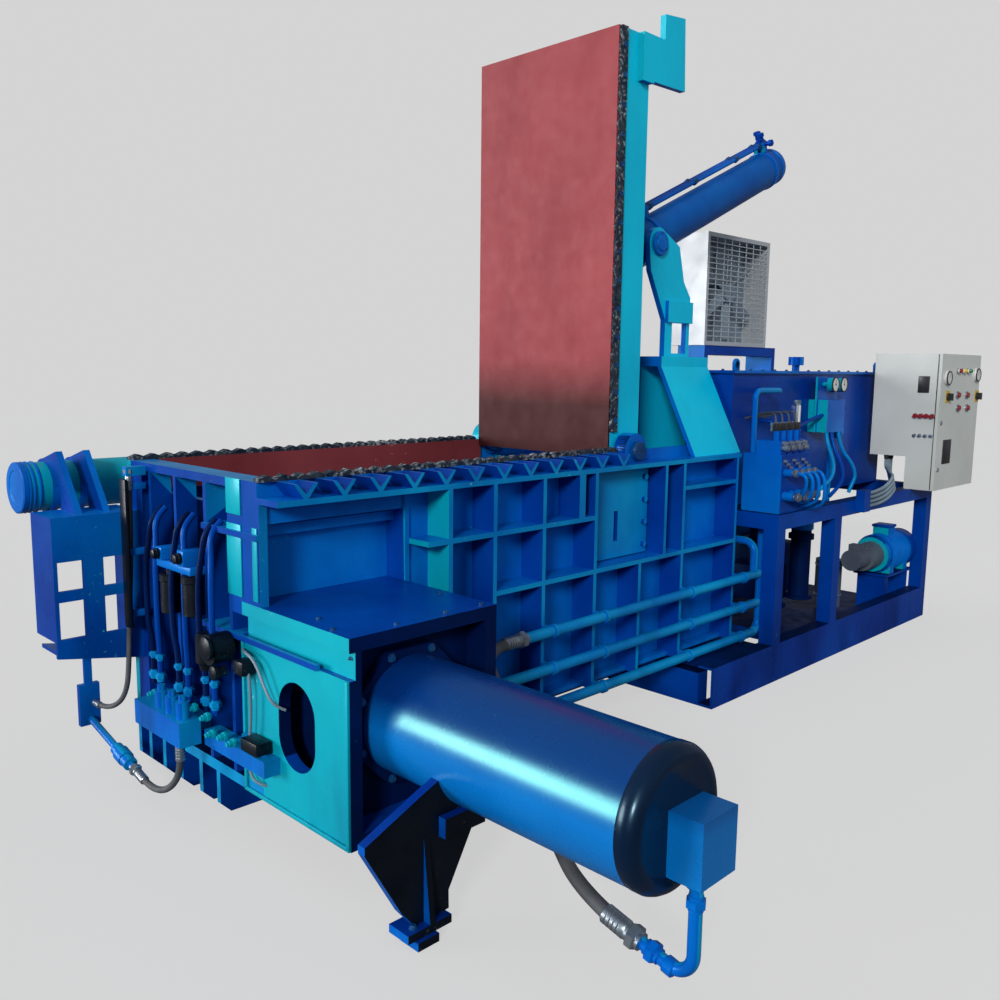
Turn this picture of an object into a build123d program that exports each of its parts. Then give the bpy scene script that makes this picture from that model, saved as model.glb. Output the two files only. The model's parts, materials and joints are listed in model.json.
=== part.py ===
from build123d import *
import math
import os

# A three-ram scrap baling press with its hydraulic power pack, in millimetres.
# X runs from the bale end to the power pack, Y away from the big cylinder, Z up.
# While modelling, x = 0 is the bale end's face, y = 0 the front wall's plate, z = 0 the floor.

# Press box
plate = 20
heavy_plate = 30
body_length = 2750
body_depth = 960
floor_under = 160
floor_top = 200
shelf_top = 1110
lip_top = 1230
rib_depth = 120
beam_top = 1180
end_recess = 80
inner_front = 130
inner_back = body_depth - heavy_plate
fin_places = [296, 425, 581, 720, 840, 935]
fin_t = 25

# Front wall ribs: places along X, and heights of the shelves between them
rib_places = [720, 951, 1233, 1565, 2229, body_length - 44]
low_half_rib = 1890
upper_post = 1460
slot_plate_x = (upper_post + 115, 2080)
slot_plate_z = (744, 1145)
shelf_low = 719
shelf_high = 956
shelf_short = 1030
recess_right = 602
recess_back = 100
back_rib_places = [700, 1000, 1300, 1600, 1900, 2250, body_length - 50]
recess_bar_t = 40
recess_bar_z = (1040, 1075)

# End frame: ribs, front post and narrow ledges
end_rib_places = [338, 560, 760]
front_post = (174, 194)
lip_over = 15
ledge_x = (-15, 0)
ledge_low = (690, 708)
ledge_high = (1040, 1060)
ledge_low_y = (-341, 371)
ledge_high_y = (-10, 350)
back_post_w = 90
fin_nose = 40

# Feed mouth blades
gusset_pitch = 150
gusset_w = 92
gusset_first = 62
gusset_count = 12
gusset_foot = 9
gusset_t = 14
tooth_pitch = 64
blade_root = 10
back_blade_in = 4
tooth_h = 12
blade_w = 34

# Lid
lid_x = (1848, 2073)
lid_y = (45, body_depth - 55)
lid_z = (1200, 3085)
lid_cells = (3, 5)
liner_t = 10
liner_over = 30
liner_gap = 5
lid_skin = 30
lid_rib = 25
hinge_x = 1960
hinge_z = 1230
hinge_pin_r = 30
hinge_boss_r = 60
hinge_lug_t = 40
side_gap = 0.3
bracket_r = 80
bracket_y = ((-30, lid_y[0] - 10), (lid_y[1] + 10, body_depth + 30))
hook_y = (15, 45)
hook_root = (1990, 2880, 3085)
hook_line = [(2148, 3085), (2148, 3195), (2300, 3213), (2316, 2894), (2073, 2888)]
lid_lug_gap = 101
lid_lug_t = 30
lid_pin = (2240, 2126)
ear_r = 60
ear_tip = (10, 57)
ear_foot = (-240, 170)
edge_blade_t = 12
edge_blade_w = 52
lip_blade_gap = 5

# Lid cylinder on its trunnion, leaning back at rest
cyl_y = 440
trunnion = (2500, 2242)
lid_cyl_angle = math.degrees(math.atan2(trunnion[1] - lid_pin[1], trunnion[0] - lid_pin[0]))
lid_barrel_r = 106
lid_bore_r = 80
lid_rod_r = 48
lid_barrel_front = 130
lid_barrel_back = 1500
trunnion_r = 35
lid_gland = 80
lid_cap = 60
lid_collar = (45, 18, 5)
lid_piston = (70, 130)
tower_gap = 145
tower_t = 30
run_clear = 0.05
edge_clear = 5
eye_w = 100
eye_r = 58
rod_end_back = 20

# Tower under the trunnion
tier_x = (2380, 2800)
tier_top = 1670
tier_slope_top = 140
tier_slope_foot = -80
tier_top_t = 50
tower_front = 2575
tower_knee = 1861
tower_nose = (2437, 2105)
tower_back = 2685
tower_slope = [(2734, 2066), (2800, 1985)]
tower_window = ((2640, 2770), (1690, 1850))
tower_band_h = 110
tower_boss_r = 80
tower_head = (60, 60)
tier_slope_t = 25
tunnel_top_t = 30
tunnel_start = 1995
tunnel_rear_t = 50
rod_hole_over = 15

# Final ram, its housing and the big cylinder
housing_y = (-490, 112)
housing_z = (160, 820)
housing_wall = 45
housing_top_t = 45
housing_end_t = 50
housing_step = 690
housing_slot_z = (323, 616)
housing_slot_r = 103
housing_slot_y = -206
floor_step = 5
big_x = 277
big_z = 514
big_r = 190
big_bore = 150
big_rod = 110
big_y = (-1450, -440)
big_flange_t = 40
big_flange_r = 232
big_edge = 25
big_cap = 60
big_gland = 40
big_piston = (70, 170)
big_port = ((230, 380), 100, (390, 560))
rod_collar = (40, 80, 6)
bulkhead_t = 40
final_ram_x = (116, 549)
final_ram_z = (208, 772)
final_ram_back = -340
final_face_x = (114, 590)
final_face_y = (115, 155)
final_face_top = 1085

# Press ram under the lid's hinge, pushed from the power pack side
press_ram_x = (1860, body_length - 190)
press_ram_y = (inner_front + 5, inner_back - 15)
press_ram_z = (208, 1100)
press_axis = (525, 654)
press_r = 125
press_bore = 100
press_rod_r = 75
press_end = 4230
press_gland = 75
press_cap = 60
press_flange = (45, 15)
press_port = ((110, 190), 40, 10)
press_piston = (80, 140)
press_collar = 40
ram_wall = 40
ram_face = 80

# Bale opening and its door
bale_x = (110, 595)
bale_z = (205, 1105)
duct_back = body_depth + 125
door_x = (92, 613)
door_y = (duct_back + 0.3, duct_back + 50.3)
door_z = (190, 1122)
door_arm = 390
door_arm_z = (-60, 6)
door_lug = 60
guide_x = (-327, 0)
guide_y = (duct_back - 205, duct_back)
guide_top = 1040
guide_foot = (510, 452)
guide_t = 15
guide_windows = [((-312, -219), (580, 722)), ((-312, -219), (763, 873)),
                 ((-143, -40), (580, 722)), ((-143, -40), (763, 873))]
cheek_places = (-215, -110)
cheek_t = 25
cheek_foot = guide_y[0] + 60
cheek_over = 13
cheek_slope = (80, 140, 50)
door_axis = (duct_back + 165, 1116)
door_cyl_r = 97
door_bore = 70
door_rod_r = 40
door_cyl_x = (-316, 420)
door_cap = 40
door_gland = 60
door_piston = (70, 120)
clamp_clear = 0.2
hose_block = ((-190, -110), (guide_y[1] - 25, guide_y[1]), (160, 330))
hose_block_neck = (25, 5, 38)

# Foot under the big cylinder
foot_plate_x = (-35, 125)
foot_plate_y = (-800, -714)
foot_plate_z = (25, 50)
foot_web_y = (-772, -742)
foot_pad = ((-12, 65), (-815, -735))
foot_outline = [(10, 50), (139, 50), (138, 107), (256, 316), (256, big_z), (33, 426), (-160, 344),
                (-160, 320), (-36, 106)]
foot_rib_x = (44, 64)
foot_rib_top = 300
foot_rib_lean = 10
foot_saddle_x = (100, 256)
foot_saddle_z = (285, 345)

# Power pack frame
skid_x = (2208, 4781)
skid_y = (-340, 770)
skid_h = 200
leg = 80
leg_z = (200, 880)
rail_h = 80
skid_web = 10
skid_wall = 12
leg_places = [body_length + 10, 3400, 4701]
tray_z = (60, 70)

# Oil tank and what stands on it
tank_x = (body_length + 80, 4700)
tank_y = (0, 750)
tank_z = (880, 1590)
tank_wall = 8
cover_over = 20
cover_t = 15
breather = (3785, 150)
breather_neck = (22, 35)
breather_cap = (45, 50)
shelf_x = (3437, 4292)
shelf_y = (575, 770)
shelf_z = (1701, 1757)
cooler_x = (3417, 4147)
cooler_y = (575, 815)
cooler_z = (1757, 2431)
cooler_wall = 8
fan_r = 290
fan_hub_r = 60
fan_y = (50, 110)
fan_blades = 6
fan_blade = (60, 6, 35)
fan_shaft_r = 12
shaft_start = 40
fan_motor = (70, 60)
core_t = 70
shelf_leg_w = 40
grille_t = 8
grille_edge = 25
grille_wire = 5
grille_bar = 6
grille_bars = (20, 8)

# Electric cabinet and control console
cab_x = (4406, 5070)
cab_y = (-300, -72)
cab_z = (1083, 1720)
desk_y = (-482, -300)
desk_z = (880, 1720)
door_t = 18
sheet_t = 3
knuckle_r = 8
knuckle_h = 28
knuckle_shares = (0.12, 0.8)
hinge_rod_r = 4
leaf_t = 6
leaf_w = 24
cabinet_hinge = (5052, -62)
console_hinge = (5079, -464)
button_r = 16
side_button_less = 2
knob_r = 24
knob_t = 12
knob_bar = (6, 22, 2)
knob_gap = 0.3
button_out = 20
button_in = 12
side_button_out = 18
side_button_in = 6
meter_r = 42
meter_t = 14
lamp_r = 15
lamp_t = 16
lamp_z = 1618

# Slot plate
slot_sheet_t = 30
slot_margin = (25, 15)
slot_line = ((1812, 1840), (820, 960))
slot_bolt_r = 14
slot_bolt_in = 30
slot_bolt_ends = 40
slot_bolt_rows = 4

# Motor, pump and filter

motor_x = (4300, 4690)
motor_axis = (-170, 450)
motor_r = 110
motor_stand_top = 330
motor_ribs = 6
motor_rib = (45, 12, 10)
motor_foot = ((60, 60), 60, 100, 60)
motor_box = ((120, 220), 50, 80, 55)
stand_top = (15, 110)
stand_legs = ((20, 70), 50, 90)
pump_steps = ((150, 85), (290, 65))
pump_port = ((200, 260), 35, (40, 95))
filter_place = (4200, 60)
filter_r = 82
filter_foot = (60, 25)
filter_cap = (50, 40)
filter_top = 400
valve_x = (body_length + 50, body_length + 340)
valve_y = (-320, -100)
valve_z = (880, 1180)
valve_count = 4
valve_pitch = 68
solenoid = (20, 55, 160, 70)
solenoid_stem = (27, 60, 50, 20)
valve_ports = ((60, 90, 24), (45, 210, 20))
valve_port_first = 40
gauge_places = [3735, 3845]
gauge_z = 1530
gauge_r = 44
gauge_stem = (14, 40)
gauge_case = 72
gauge_plate_t = 12
gauge_block = ((3680, 3900), (-120, -60), (1250, 1440))
lid_pipe_span = (120, 1440)
lid_pipe_r = 14
lid_pipe_side = 22
lid_pipe_over = 45
lid_pipe_foot = (34, 30, 46)
meter_places = [(4496, 1574), (4998, 1594)]
lamp_places = [4665, 4750, 4836]
button_places = [(4687, 1468), (4845, 1466), (4704, 1386), (4864, 1383)]
switch_places = [(4530, 1458), (5036, 1457)]
side_button_z = 1340
side_button_places = [-445, -412, -379, -346]
conduit_count = 4
conduit_pitch = 25
conduit_r = 10
conduit_start = (4430, -170, 975)
conduit_line = [(4365, -212, 924), (4280, -265, 908), (4180, -322, 902), (4080, -354, 886),
                (3970, -366, 856), (3840, -366, 838)]
conduit_end_y = -366
conduit_box_x = (3640, 3720)

# Pipes and hoses
pipe_r = 22.5
strap_t = 6
strap_h = 26
wall_pipe_y = -180
feed_z = 540
return_z = 383
drain_z = 225
hose_r = 21
feed_start = 1030
wall_pipe_bend = 70
wall_pipes = [(feed_start, feed_z, 3050), (828, return_z, 2970), (1279, drain_z, 2890)]
ram_hose_route = [(290, -1300, 154), (290, -1140, 194), (375, -960, 262), (490, -790, 330), (595, -610, 405),
                  (680, -440, 473), (763, -296, 517), (819, -240, 531), (887, -200, 538), (960, -180, 540),
                  (feed_start, -180, 540)]
drain_hose_r = 10
drain_hose_route = [(-60, 815, 1185), (-60, 815, 1040), (-60, 829, 860), (-62, 850, 690), (-66, 860, 540),
                    (-72, 862, 430), (-80, 864, 352), (-94, 889, 292), (-113, 940, 257), (-132, 1000, 250),
                    (-132, hose_block[1][0], 250)]
return_hose_r = 12
return_hose_route = [(-150, 640, 94), (-150, 565, 77.55), (-149, 495, 76), (-144, 432, 92), (-136, 382, 126),
                     (-128, 348, 176), (-126, 338, 232), (-126, 338, 290)]
big_pipe_y = -1500
big_pipe_z = (390, 104)
gauge_pipe_r = 16
loop_r = 14
loop_bend = 40
press_feed_r = 20
pipe_bend = 60
gauge_pipe = (3800, -90)
valve_loop = [(valve_x[0] + 50, -125, valve_z[1]), (valve_x[0] + 50, -125, 1500),
              (valve_x[1] + 36, -125, 1500), (valve_x[1] + 36, tank_y[0], 1500)]
press_feed = [(body_length + 70, wall_pipe_y, feed_z + pipe_r - 0.5), (body_length + 70, wall_pipe_y, 715),
              (body_length + 70, 406.6, 715)]
low_valve = ((-150, -70), (290, 640), (290, 380))
dark_block = ((-60, 0), (-107, 285), (285, 340))
black_valve = (177, 657)
black_valve_steps = [(-95, -20, 52), (-110, -95, 30), (-20, 0, 30)]
low_valve_neck = (60, 20)
low_valve_caps = (50, 130, 210)
low_valve_cap = ((60, 24), (80, 14))
dark_block_caps = (60, 150)
dark_block_cap = (45, 20)
union_steps = [(0, 30, 16), (60, 100, 26), (100, 150, 30), (150, 185, 24)]
drain_fitting = (16, 34)
joint_gap = 0.1
return_pipe = (-150, hose_block[1][0] - 3.5, 185.7)
on_base = (Align.CENTER, Align.CENTER, Align.MIN)
big_pipe_r = 17.5
cord_bend_share = 0.45


def block(x, y, z):
    size = (x[1] - x[0], y[1] - y[0], z[1] - z[0])
    return Pos((x[0] + x[1]) / 2, (y[0] + y[1]) / 2, (z[0] + z[1]) / 2) * Box(*size)


def round_x(x, y, z, radius):
    return Pos((x[0] + x[1]) / 2, y, z) * Rot(0, 90, 0) * Cylinder(radius, x[1] - x[0])


def round_y(x, y, z, radius):
    return Pos(x, (y[0] + y[1]) / 2, z) * Rot(90, 0, 0) * Cylinder(radius, y[1] - y[0])


def round_z(x, y, z, radius):
    return Pos(x, y, (z[0] + z[1]) / 2) * Cylinder(radius, z[1] - z[0])


def plate_xz(points, y):
    face = Plane(origin=(0, y[1], 0), x_dir=(1, 0, 0), z_dir=(0, -1, 0))
    return extrude(face * Polygon(*points, align=None), y[1] - y[0], dir=(0, -1, 0))


def plate_yz(points, x):
    face = Plane(origin=(x[0], 0, 0), x_dir=(0, 1, 0), z_dir=(1, 0, 0))
    return extrude(face * Polygon(*points, align=None), x[1] - x[0], dir=(1, 0, 0))


def pipe(points, radius, bend):
    path = FilletPolyline(*points, radius=bend)
    return sweep(Plane(origin=path @ 0, z_dir=path % 0) * Circle(radius), path=path)


def cord(name, points, radius):
    """A tube of straight runs joined by tangent arcs, each as large as its runs allow."""
    spots = [Vector(*p) for p in points]
    edges = []
    start = spots[0]
    radii = []
    for before, here, after in zip(spots, spots[1:], spots[2:]):
        into = (here - before).normalized()
        out = (after - here).normalized()
        half_turn = math.radians(into.get_angle(out)) / 2
        shorter = min((here - before).length, (after - here).length)
        bend = cord_bend_share * shorter / math.tan(half_turn)
        radii.append(round(bend))
        first = here - into * (cord_bend_share * shorter)
        last = here + out * (cord_bend_share * shorter)
        centre_way = (out - into).normalized()
        middle = here + centre_way * (bend / math.cos(half_turn) - bend)
        edges.append(Line(start, first))
        edges.append(ThreePointArc(first, middle, last))
        start = last
    edges.append(Line(start, spots[-1]))
    path = Wire(edges)
    print("cord", name, "bend radii", radii, "diameter", 2 * radius)
    return sweep(Plane(origin=path @ 0, z_dir=path % 0) * Circle(radius), path=path)


def front_wall():
    wall = block((recess_right, body_length), (0, plate), (floor_top, lip_top))
    wall += block((0, recess_right), (0, plate), (shelf_top - plate, lip_top))
    wall += block((0, body_length), (-rib_depth, 0), (beam_top - plate, beam_top))
    inner_end = tunnel_start
    under_shelf = (floor_top, shelf_top - plate)
    wall += block((end_recess + heavy_plate, inner_end), (plate, inner_front), (under_shelf[1], shelf_top))
    wall += block((recess_right, inner_end), (inner_front - plate, inner_front), under_shelf)
    wall += block((recess_right, recess_right + plate), (-plate / 2, 0), (floor_top, beam_top - plate))
    wall += block((recess_right, recess_right + plate), (plate, inner_front - plate), under_shelf)
    for x in rib_places:
        wall += block((x, x + plate), (-rib_depth, 0), (floor_top, beam_top - plate))
    wall += block((recess_right + plate, rib_places[3]), (-rib_depth, 0), (shelf_high, shelf_high + plate))
    wall += block((rib_places[1], rib_places[5]), (-rib_depth, 0), (shelf_low, shelf_low + plate))
    wall += block((rib_places[4], rib_places[5]), (-rib_depth, 0), (shelf_short, shelf_short + plate))
    wall += block((low_half_rib, low_half_rib + plate), (-rib_depth, 0), (floor_top, shelf_low))
    wall += block((upper_post, upper_post + 2 * plate), (-rib_depth, 0), (shelf_high, beam_top - plate))
    wall += block((slot_plate_x[1], slot_plate_x[1] + plate), (-rib_depth, 0), (shelf_low, beam_top - plate))
    wall += block((recess_right, body_length), (-rib_depth / 2, 0), (floor_top, floor_top + plate))
    wall -= round_y(hinge_x, bracket_y[0], hinge_z, bracket_r)
    wall += recess_panel()
    wall += gusset_row()
    return wall + hinge_bracket(bracket_y[0])


def recess_panel():
    x = (heavy_plate, recess_right)
    panel = block(x, (recess_back, housing_y[1]), (housing_z[1], shelf_top - plate))
    panel += block(x, (recess_back - recess_bar_t, recess_back), recess_bar_z)
    return panel


def back_wall():
    x = (0, body_length)
    wall = block(x, (inner_back, body_depth), (floor_top, lip_top))
    wall -= block(bale_x, (inner_back, body_depth), bale_z)
    for place in back_rib_places:
        wall += block((place, place + plate), (body_depth, body_depth + rib_depth), (floor_top, beam_top))
    rib_y = (body_depth, body_depth + rib_depth)
    for height in (shelf_low, shelf_high, beam_top - plate):
        wall += block((back_rib_places[0], body_length), rib_y, (height, height + plate))
    wall -= round_y(hinge_x, bracket_y[1], hinge_z, bracket_r)
    wall += bale_duct()
    return wall + hinge_bracket(bracket_y[1])


def bale_duct():
    y = (body_depth, duct_back)
    duct = block((bale_x[0] - plate, bale_x[1] + plate), y, (bale_z[0] - plate, bale_z[1] + plate))
    return duct - block(bale_x, y, bale_z)


def end_frame():
    under_lip = lip_top - heavy_plate
    under_shelf = shelf_top - plate
    face_x = (end_recess, end_recess + heavy_plate)
    frame = block(face_x, (inner_front - plate + 2, inner_back), (floor_top, under_shelf))
    frame += block(face_x, (inner_front, inner_back), (under_shelf, shelf_top))
    frame += block((0, end_recess + lip_over), (plate, inner_back), (under_lip, lip_top))
    frame += block((0, heavy_plate), (-plate / 2, 0), (housing_z[1], beam_top - plate))
    frame += block((0, heavy_plate), (0, front_post[1]), (housing_z[1], under_shelf))
    frame += block((0, heavy_plate), (plate, front_post[1]), (under_shelf, under_lip))
    frame += block((0, end_recess), front_post, (floor_top, under_lip))
    corner_z = (housing_z[1] - housing_top_t, housing_z[1])
    frame += block((0, end_recess), (housing_y[1], front_post[0]), corner_z)
    for place in end_rib_places:
        frame += block((0, end_recess), (place, place + plate), (floor_top, under_lip))
    frame += block((0, end_recess), (inner_back - back_post_w, inner_back), (floor_top, under_lip))
    frame += block((ledge_x[0], end_recess), (housing_y[1], ledge_low_y[1]), ledge_low)
    frame += block(ledge_x, (ledge_low_y[0], housing_y[1]), ledge_low)
    frame += block(ledge_x, ledge_high_y, ledge_high)
    return frame + block((0, end_recess), (front_post[1], end_rib_places[0]), ledge_high)


def chamber_floor():
    floor = block((0, body_length), (0, body_depth), (floor_under, floor_top))
    outline = [(fin_nose, 0), (body_length, 0), (body_length, floor_under), (0, floor_under), (0, fin_nose)]
    for y in fin_places:
        floor += plate_xz(outline, (y, y + fin_t))
    return floor


def ram_housing():
    y = housing_y
    wall_x = (0, housing_wall)
    end_x = recess_right - housing_end_t
    under_top = housing_z[1] - housing_top_t
    lid_face = floor_top + floor_step
    low, high = housing_slot_z
    slot = round_x(wall_x, housing_slot_y, low + housing_slot_r, housing_slot_r)
    slot += round_x(wall_x, housing_slot_y, high - housing_slot_r, housing_slot_r)
    slot_y = (housing_slot_y - housing_slot_r, housing_slot_y + housing_slot_r)
    slot += block(wall_x, slot_y, (low + housing_slot_r, high - housing_slot_r))
    housing = block(wall_x, y, (housing_z[0], housing_step)) - slot
    housing += block((housing_wall / 2, housing_wall), y, (housing_step, under_top))
    housing += block((end_x, recess_right), y, housing_z)
    housing += block((0, end_x), y, (under_top, housing_z[1]))
    housing += block((housing_wall, end_x), (y[0], 0), (housing_z[0], lid_face))
    bulk_y = (big_y[1] + big_flange_t, big_y[1] + big_flange_t + bulkhead_t)
    bulkhead = block((housing_wall, end_x), bulk_y, (lid_face, under_top))
    housing += bulkhead - round_y(big_x, bulk_y, big_z, big_rod + plate)
    return housing - block((0, recess_right), (0, housing_y[1]), (housing_z[0], floor_top))


def ram_tunnel():
    y = (plate, inner_back)
    rear_x = (body_length - tunnel_rear_t, body_length)
    tunnel = block((tunnel_start, body_length), y, (shelf_top, shelf_top + tunnel_top_t))
    rear = block(rear_x, y, (floor_top, shelf_top))
    return tunnel + rear - round_x(rear_x, *press_axis, press_rod_r + rod_hole_over)


def gusset_row():
    row = Part()
    for i in range(gusset_count):
        x = gusset_first + i * gusset_pitch
        mid = x + gusset_w / 2
        points = [(x, lip_top), (x + gusset_w, lip_top)]
        points += [(mid + gusset_foot, beam_top), (mid - gusset_foot, beam_top)]
        hollow = [(x + gusset_t, lip_top), (x + gusset_w - gusset_t, lip_top), (mid, beam_top + gusset_t)]
        row += plate_xz(points, (-rib_depth, 0)) - plate_xz(hollow, (-rib_depth, -plate))
    return row


def toothed_strip(x, y, z, count, out):
    width = (x[1] - x[0]) / count
    points = [(x[0], z), (x[0], z + out)]
    for i in range(count):
        points.append((x[0] + (i + 0.5) * width, z + out + tooth_h))
        points.append((x[0] + (i + 1) * width, z + out))
    points.append((x[1], z))
    return plate_xz(points, y)


def wall_blades():
    count = round(lid_x[0] / tooth_pitch)
    x = (0, lid_x[0])
    front = toothed_strip(x, (-blade_w / 2, blade_w / 2), lip_top, count, blade_root)
    back_y = (inner_back - back_blade_in, inner_back + blade_w)
    return front + toothed_strip(x, back_y, lip_top, count, blade_root)


def liner_plates():
    x = (end_recess + heavy_plate, lid_x[0] + liner_over)
    y = (inner_back - liner_t, inner_back)
    liners = block((recess_right + 2 * plate, x[1]), y, (floor_top, lip_top))
    return liners + block(x, y, (bale_z[1] + liner_gap, lip_top))


def lid_part():
    x = (lid_x[0] + liner_t, lid_x[1])
    lid = block(x, lid_y, lid_z)
    columns, rows = lid_cells
    cell_w = (lid_y[1] - lid_y[0] - (columns + 1) * lid_rib) / columns
    cell_h = (lid_z[1] - lid_z[0] - (rows + 1) * lid_rib) / rows
    for i in range(columns):
        for j in range(rows):
            y0 = lid_y[0] + lid_rib + i * (cell_w + lid_rib)
            z0 = lid_z[0] + lid_rib + j * (cell_h + lid_rib)
            lid -= block((x[0] + lid_skin, x[1]), (y0, y0 + cell_w), (z0, z0 + cell_h))
    for y in ((lid_y[0], lid_y[0] + hinge_lug_t), (lid_y[1] - hinge_lug_t, lid_y[1])):
        lid += round_y(hinge_x, y, hinge_z, hinge_boss_r)
        lid += block((hinge_x - hinge_boss_r, hinge_x + hinge_boss_r), y, (hinge_z, hinge_z + hinge_boss_r))
        lid -= round_y(hinge_x, y, hinge_z, hinge_pin_r + run_clear)
    half = lid_lug_gap / 2
    for y in ((cyl_y - half - lid_lug_t, cyl_y - half), (cyl_y + half, cyl_y + half + lid_lug_t)):
        lid += lid_ear(y)
    x, low, high = hook_root
    hook = [(x, low), (x, high)] + hook_line + [(hook_line[-1][0], low)]
    return lid + plate_xz(hook, hook_y)


def lid_ear(y):
    """One of the two ears that hold the rod's pin, rooted in the lid's skin."""
    px, pz = lid_pin
    low, high = pz + ear_foot[0], pz + ear_foot[1]
    tip_x = px - ear_tip[0]
    ear = plate_xz([(lid_x[1], low), (tip_x, pz - ear_tip[1]), (tip_x, pz + ear_tip[1]), (lid_x[1], high)], y)
    ear += block((lid_x[0] + liner_t + lid_skin, lid_x[1]), y, (low, high))
    return ear + round_y(px, y, pz, ear_r)


def lid_liner():
    return block((lid_x[0], lid_x[0] + liner_t), lid_y, lid_z)


def lid_blades():
    z = (hinge_z + bracket_r + lip_blade_gap, lid_z[1])
    count = round((z[1] - z[0]) / tooth_pitch)
    width = (z[1] - z[0]) / count
    back = lid_x[0] + edge_blade_w
    root = lid_x[0] + tooth_h
    points = [(back, z[1]), (back, z[0]), (root, z[0])]
    for i in range(count):
        points.append((lid_x[0], z[0] + (i + 0.5) * width))
        points.append((root, z[0] + (i + 1) * width))
    return plate_xz(points, (lid_y[0] - edge_blade_t, lid_y[0]))


def hinge_bracket(y):
    return round_y(hinge_x, y, hinge_z, bracket_r) - round_y(hinge_x, y, hinge_z, hinge_pin_r)


def hinge_pins():
    reach = hinge_lug_t - side_gap
    pins = round_y(hinge_x, (bracket_y[0][0] - plate, lid_y[0] + reach), hinge_z, hinge_pin_r)
    pins += round_y(hinge_x, (lid_y[1] - reach, bracket_y[1][1] + plate), hinge_z, hinge_pin_r)
    return pins


def lid_towers():
    tower = block(tier_x, (tier_slope_top, 2 * cyl_y - tier_slope_top), (tier_top - tier_top_t, tier_top))
    base = shelf_top + tunnel_top_t
    under = tier_top - tier_top_t
    tx, tz = trunnion
    across, up = tower_head
    head = [(tx - tower_boss_r, tz), (tx - across, tz + up), (tx + across, tz + up), (tower_back, tz)]
    outline = [(tower_front, tier_top), (tower_front, tower_knee), tower_nose] + head + tower_slope
    outline.append((tier_x[1], tier_top))
    for side in (-1, 1):
        y = sorted((cyl_y + side * tower_gap, cyl_y + side * (tower_gap + tower_t)))
        wall = plate_xz([(tier_x[0], base), (tier_x[1], base), (tier_x[1], under), (tier_x[0], under)], y)
        wall += plate_xz(outline, y) + round_y(tx, y, tz, tower_boss_r)
        wall -= block(tower_window[0], y, tower_window[1])
        tower += wall - round_y(tx, y, tz, trunnion_r + run_clear)
        out = sorted((cyl_y + side * (tower_gap + tower_t), cyl_y + side * (tower_gap + tower_t + plate)))
        tower += block((tower_front, tier_x[1]), out, (tower_window[1][1], tower_window[1][1] + tower_band_h))
    foot = (tier_slope_foot, beam_top)
    front = [foot, (foot[0] + tier_slope_t, foot[1])]
    front += [(tier_slope_top + tier_slope_t, under), (tier_slope_top, under)]
    return tower + plate_yz(front, tier_x)


def lid_axis(along):
    a = math.radians(lid_cyl_angle)
    return (trunnion[0] + along * math.cos(a), cyl_y, trunnion[1] + along * math.sin(a))


def lid_round(along, radius):
    shape = Rot(0, 90, 0) * Cylinder(radius, along[1] - along[0])
    middle = lid_axis((along[0] + along[1]) / 2)
    return Pos(*middle) * Rot(0, -lid_cyl_angle, 0) * shape


def lid_cylinder():
    half, over, under = lid_collar
    barrel = lid_round((-lid_barrel_front, lid_barrel_back), lid_barrel_r)
    barrel -= lid_round((-lid_barrel_front + lid_gland, lid_barrel_back - lid_cap), lid_bore_r)
    barrel += lid_round((-half, half), lid_barrel_r + over) - lid_round((-half, half), lid_barrel_r - under)
    barrel -= lid_round((-lid_barrel_front, -lid_barrel_front + lid_gland), lid_rod_r + run_clear)
    reach = tower_gap + tower_t + edge_clear
    pins = round_y(trunnion[0], (cyl_y - reach, cyl_y + reach), trunnion[1], trunnion_r)
    return barrel + (pins - lid_round((-trunnion_r - over, trunnion_r + over), lid_barrel_r - under))


def lid_rod():
    reach = math.dist(trunnion, lid_pin)
    near, far = lid_piston
    rod = lid_round((-reach + rod_end_back, lid_barrel_back - far), lid_rod_r)
    rod += lid_round((lid_barrel_back - far, lid_barrel_back - near), lid_bore_r - run_clear)
    return rod + round_y(lid_pin[0], (cyl_y - eye_w / 2, cyl_y + eye_w / 2), lid_pin[1], eye_r)


def final_cylinder():
    y = big_y
    barrel = Rot(90, 0, 0) * Cylinder(big_r, y[1] - y[0])
    barrel = Pos(big_x, (y[0] + y[1]) / 2, big_z) * chamfer(barrel.edges().sort_by(Axis.Y)[:1], big_edge)
    flange_y = (y[1], y[1] + big_flange_t)
    octagon = Rot(0, 0, 22.5) * RegularPolygon(big_flange_r, 8)
    face = Plane(origin=(big_x, flange_y[1], big_z), x_dir=(1, 0, 0), z_dir=(0, -1, 0))
    body = barrel + extrude(face * octagon, big_flange_t, dir=(0, -1, 0))
    body -= round_y(big_x, (y[0] + big_cap, y[1] - big_gland), big_z, big_bore)
    body -= round_y(big_x, (y[1] - big_gland, flange_y[1]), big_z, big_rod + run_clear)
    port_x, port_out, port_z = big_port
    return body + block(port_x, (y[0] - port_out, y[0]), port_z)


def final_rod():
    near, far = big_piston
    face, collar, over = rod_collar
    rod = round_y(big_x, (big_y[0] + far, final_face_y[0] - face), big_z, big_rod)
    rod += round_y(big_x, (big_y[0] + near, big_y[0] + far), big_z, big_bore - run_clear)
    return rod + round_y(big_x, (final_face_y[0] - collar, final_face_y[0] - face), big_z, big_rod + over)


def final_ram():
    ram = block(final_ram_x, (final_ram_back, final_face_y[0]), final_ram_z)
    inner_x = (final_ram_x[0] + ram_wall, final_ram_x[1] - ram_wall)
    inner_z = (final_ram_z[0] + ram_wall, final_ram_z[1] - ram_wall)
    ram -= block(inner_x, (final_ram_back, final_face_y[0] - rod_collar[0]), inner_z)
    return ram + block(final_face_x, final_face_y, (final_ram_z[0], final_face_top))


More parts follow.
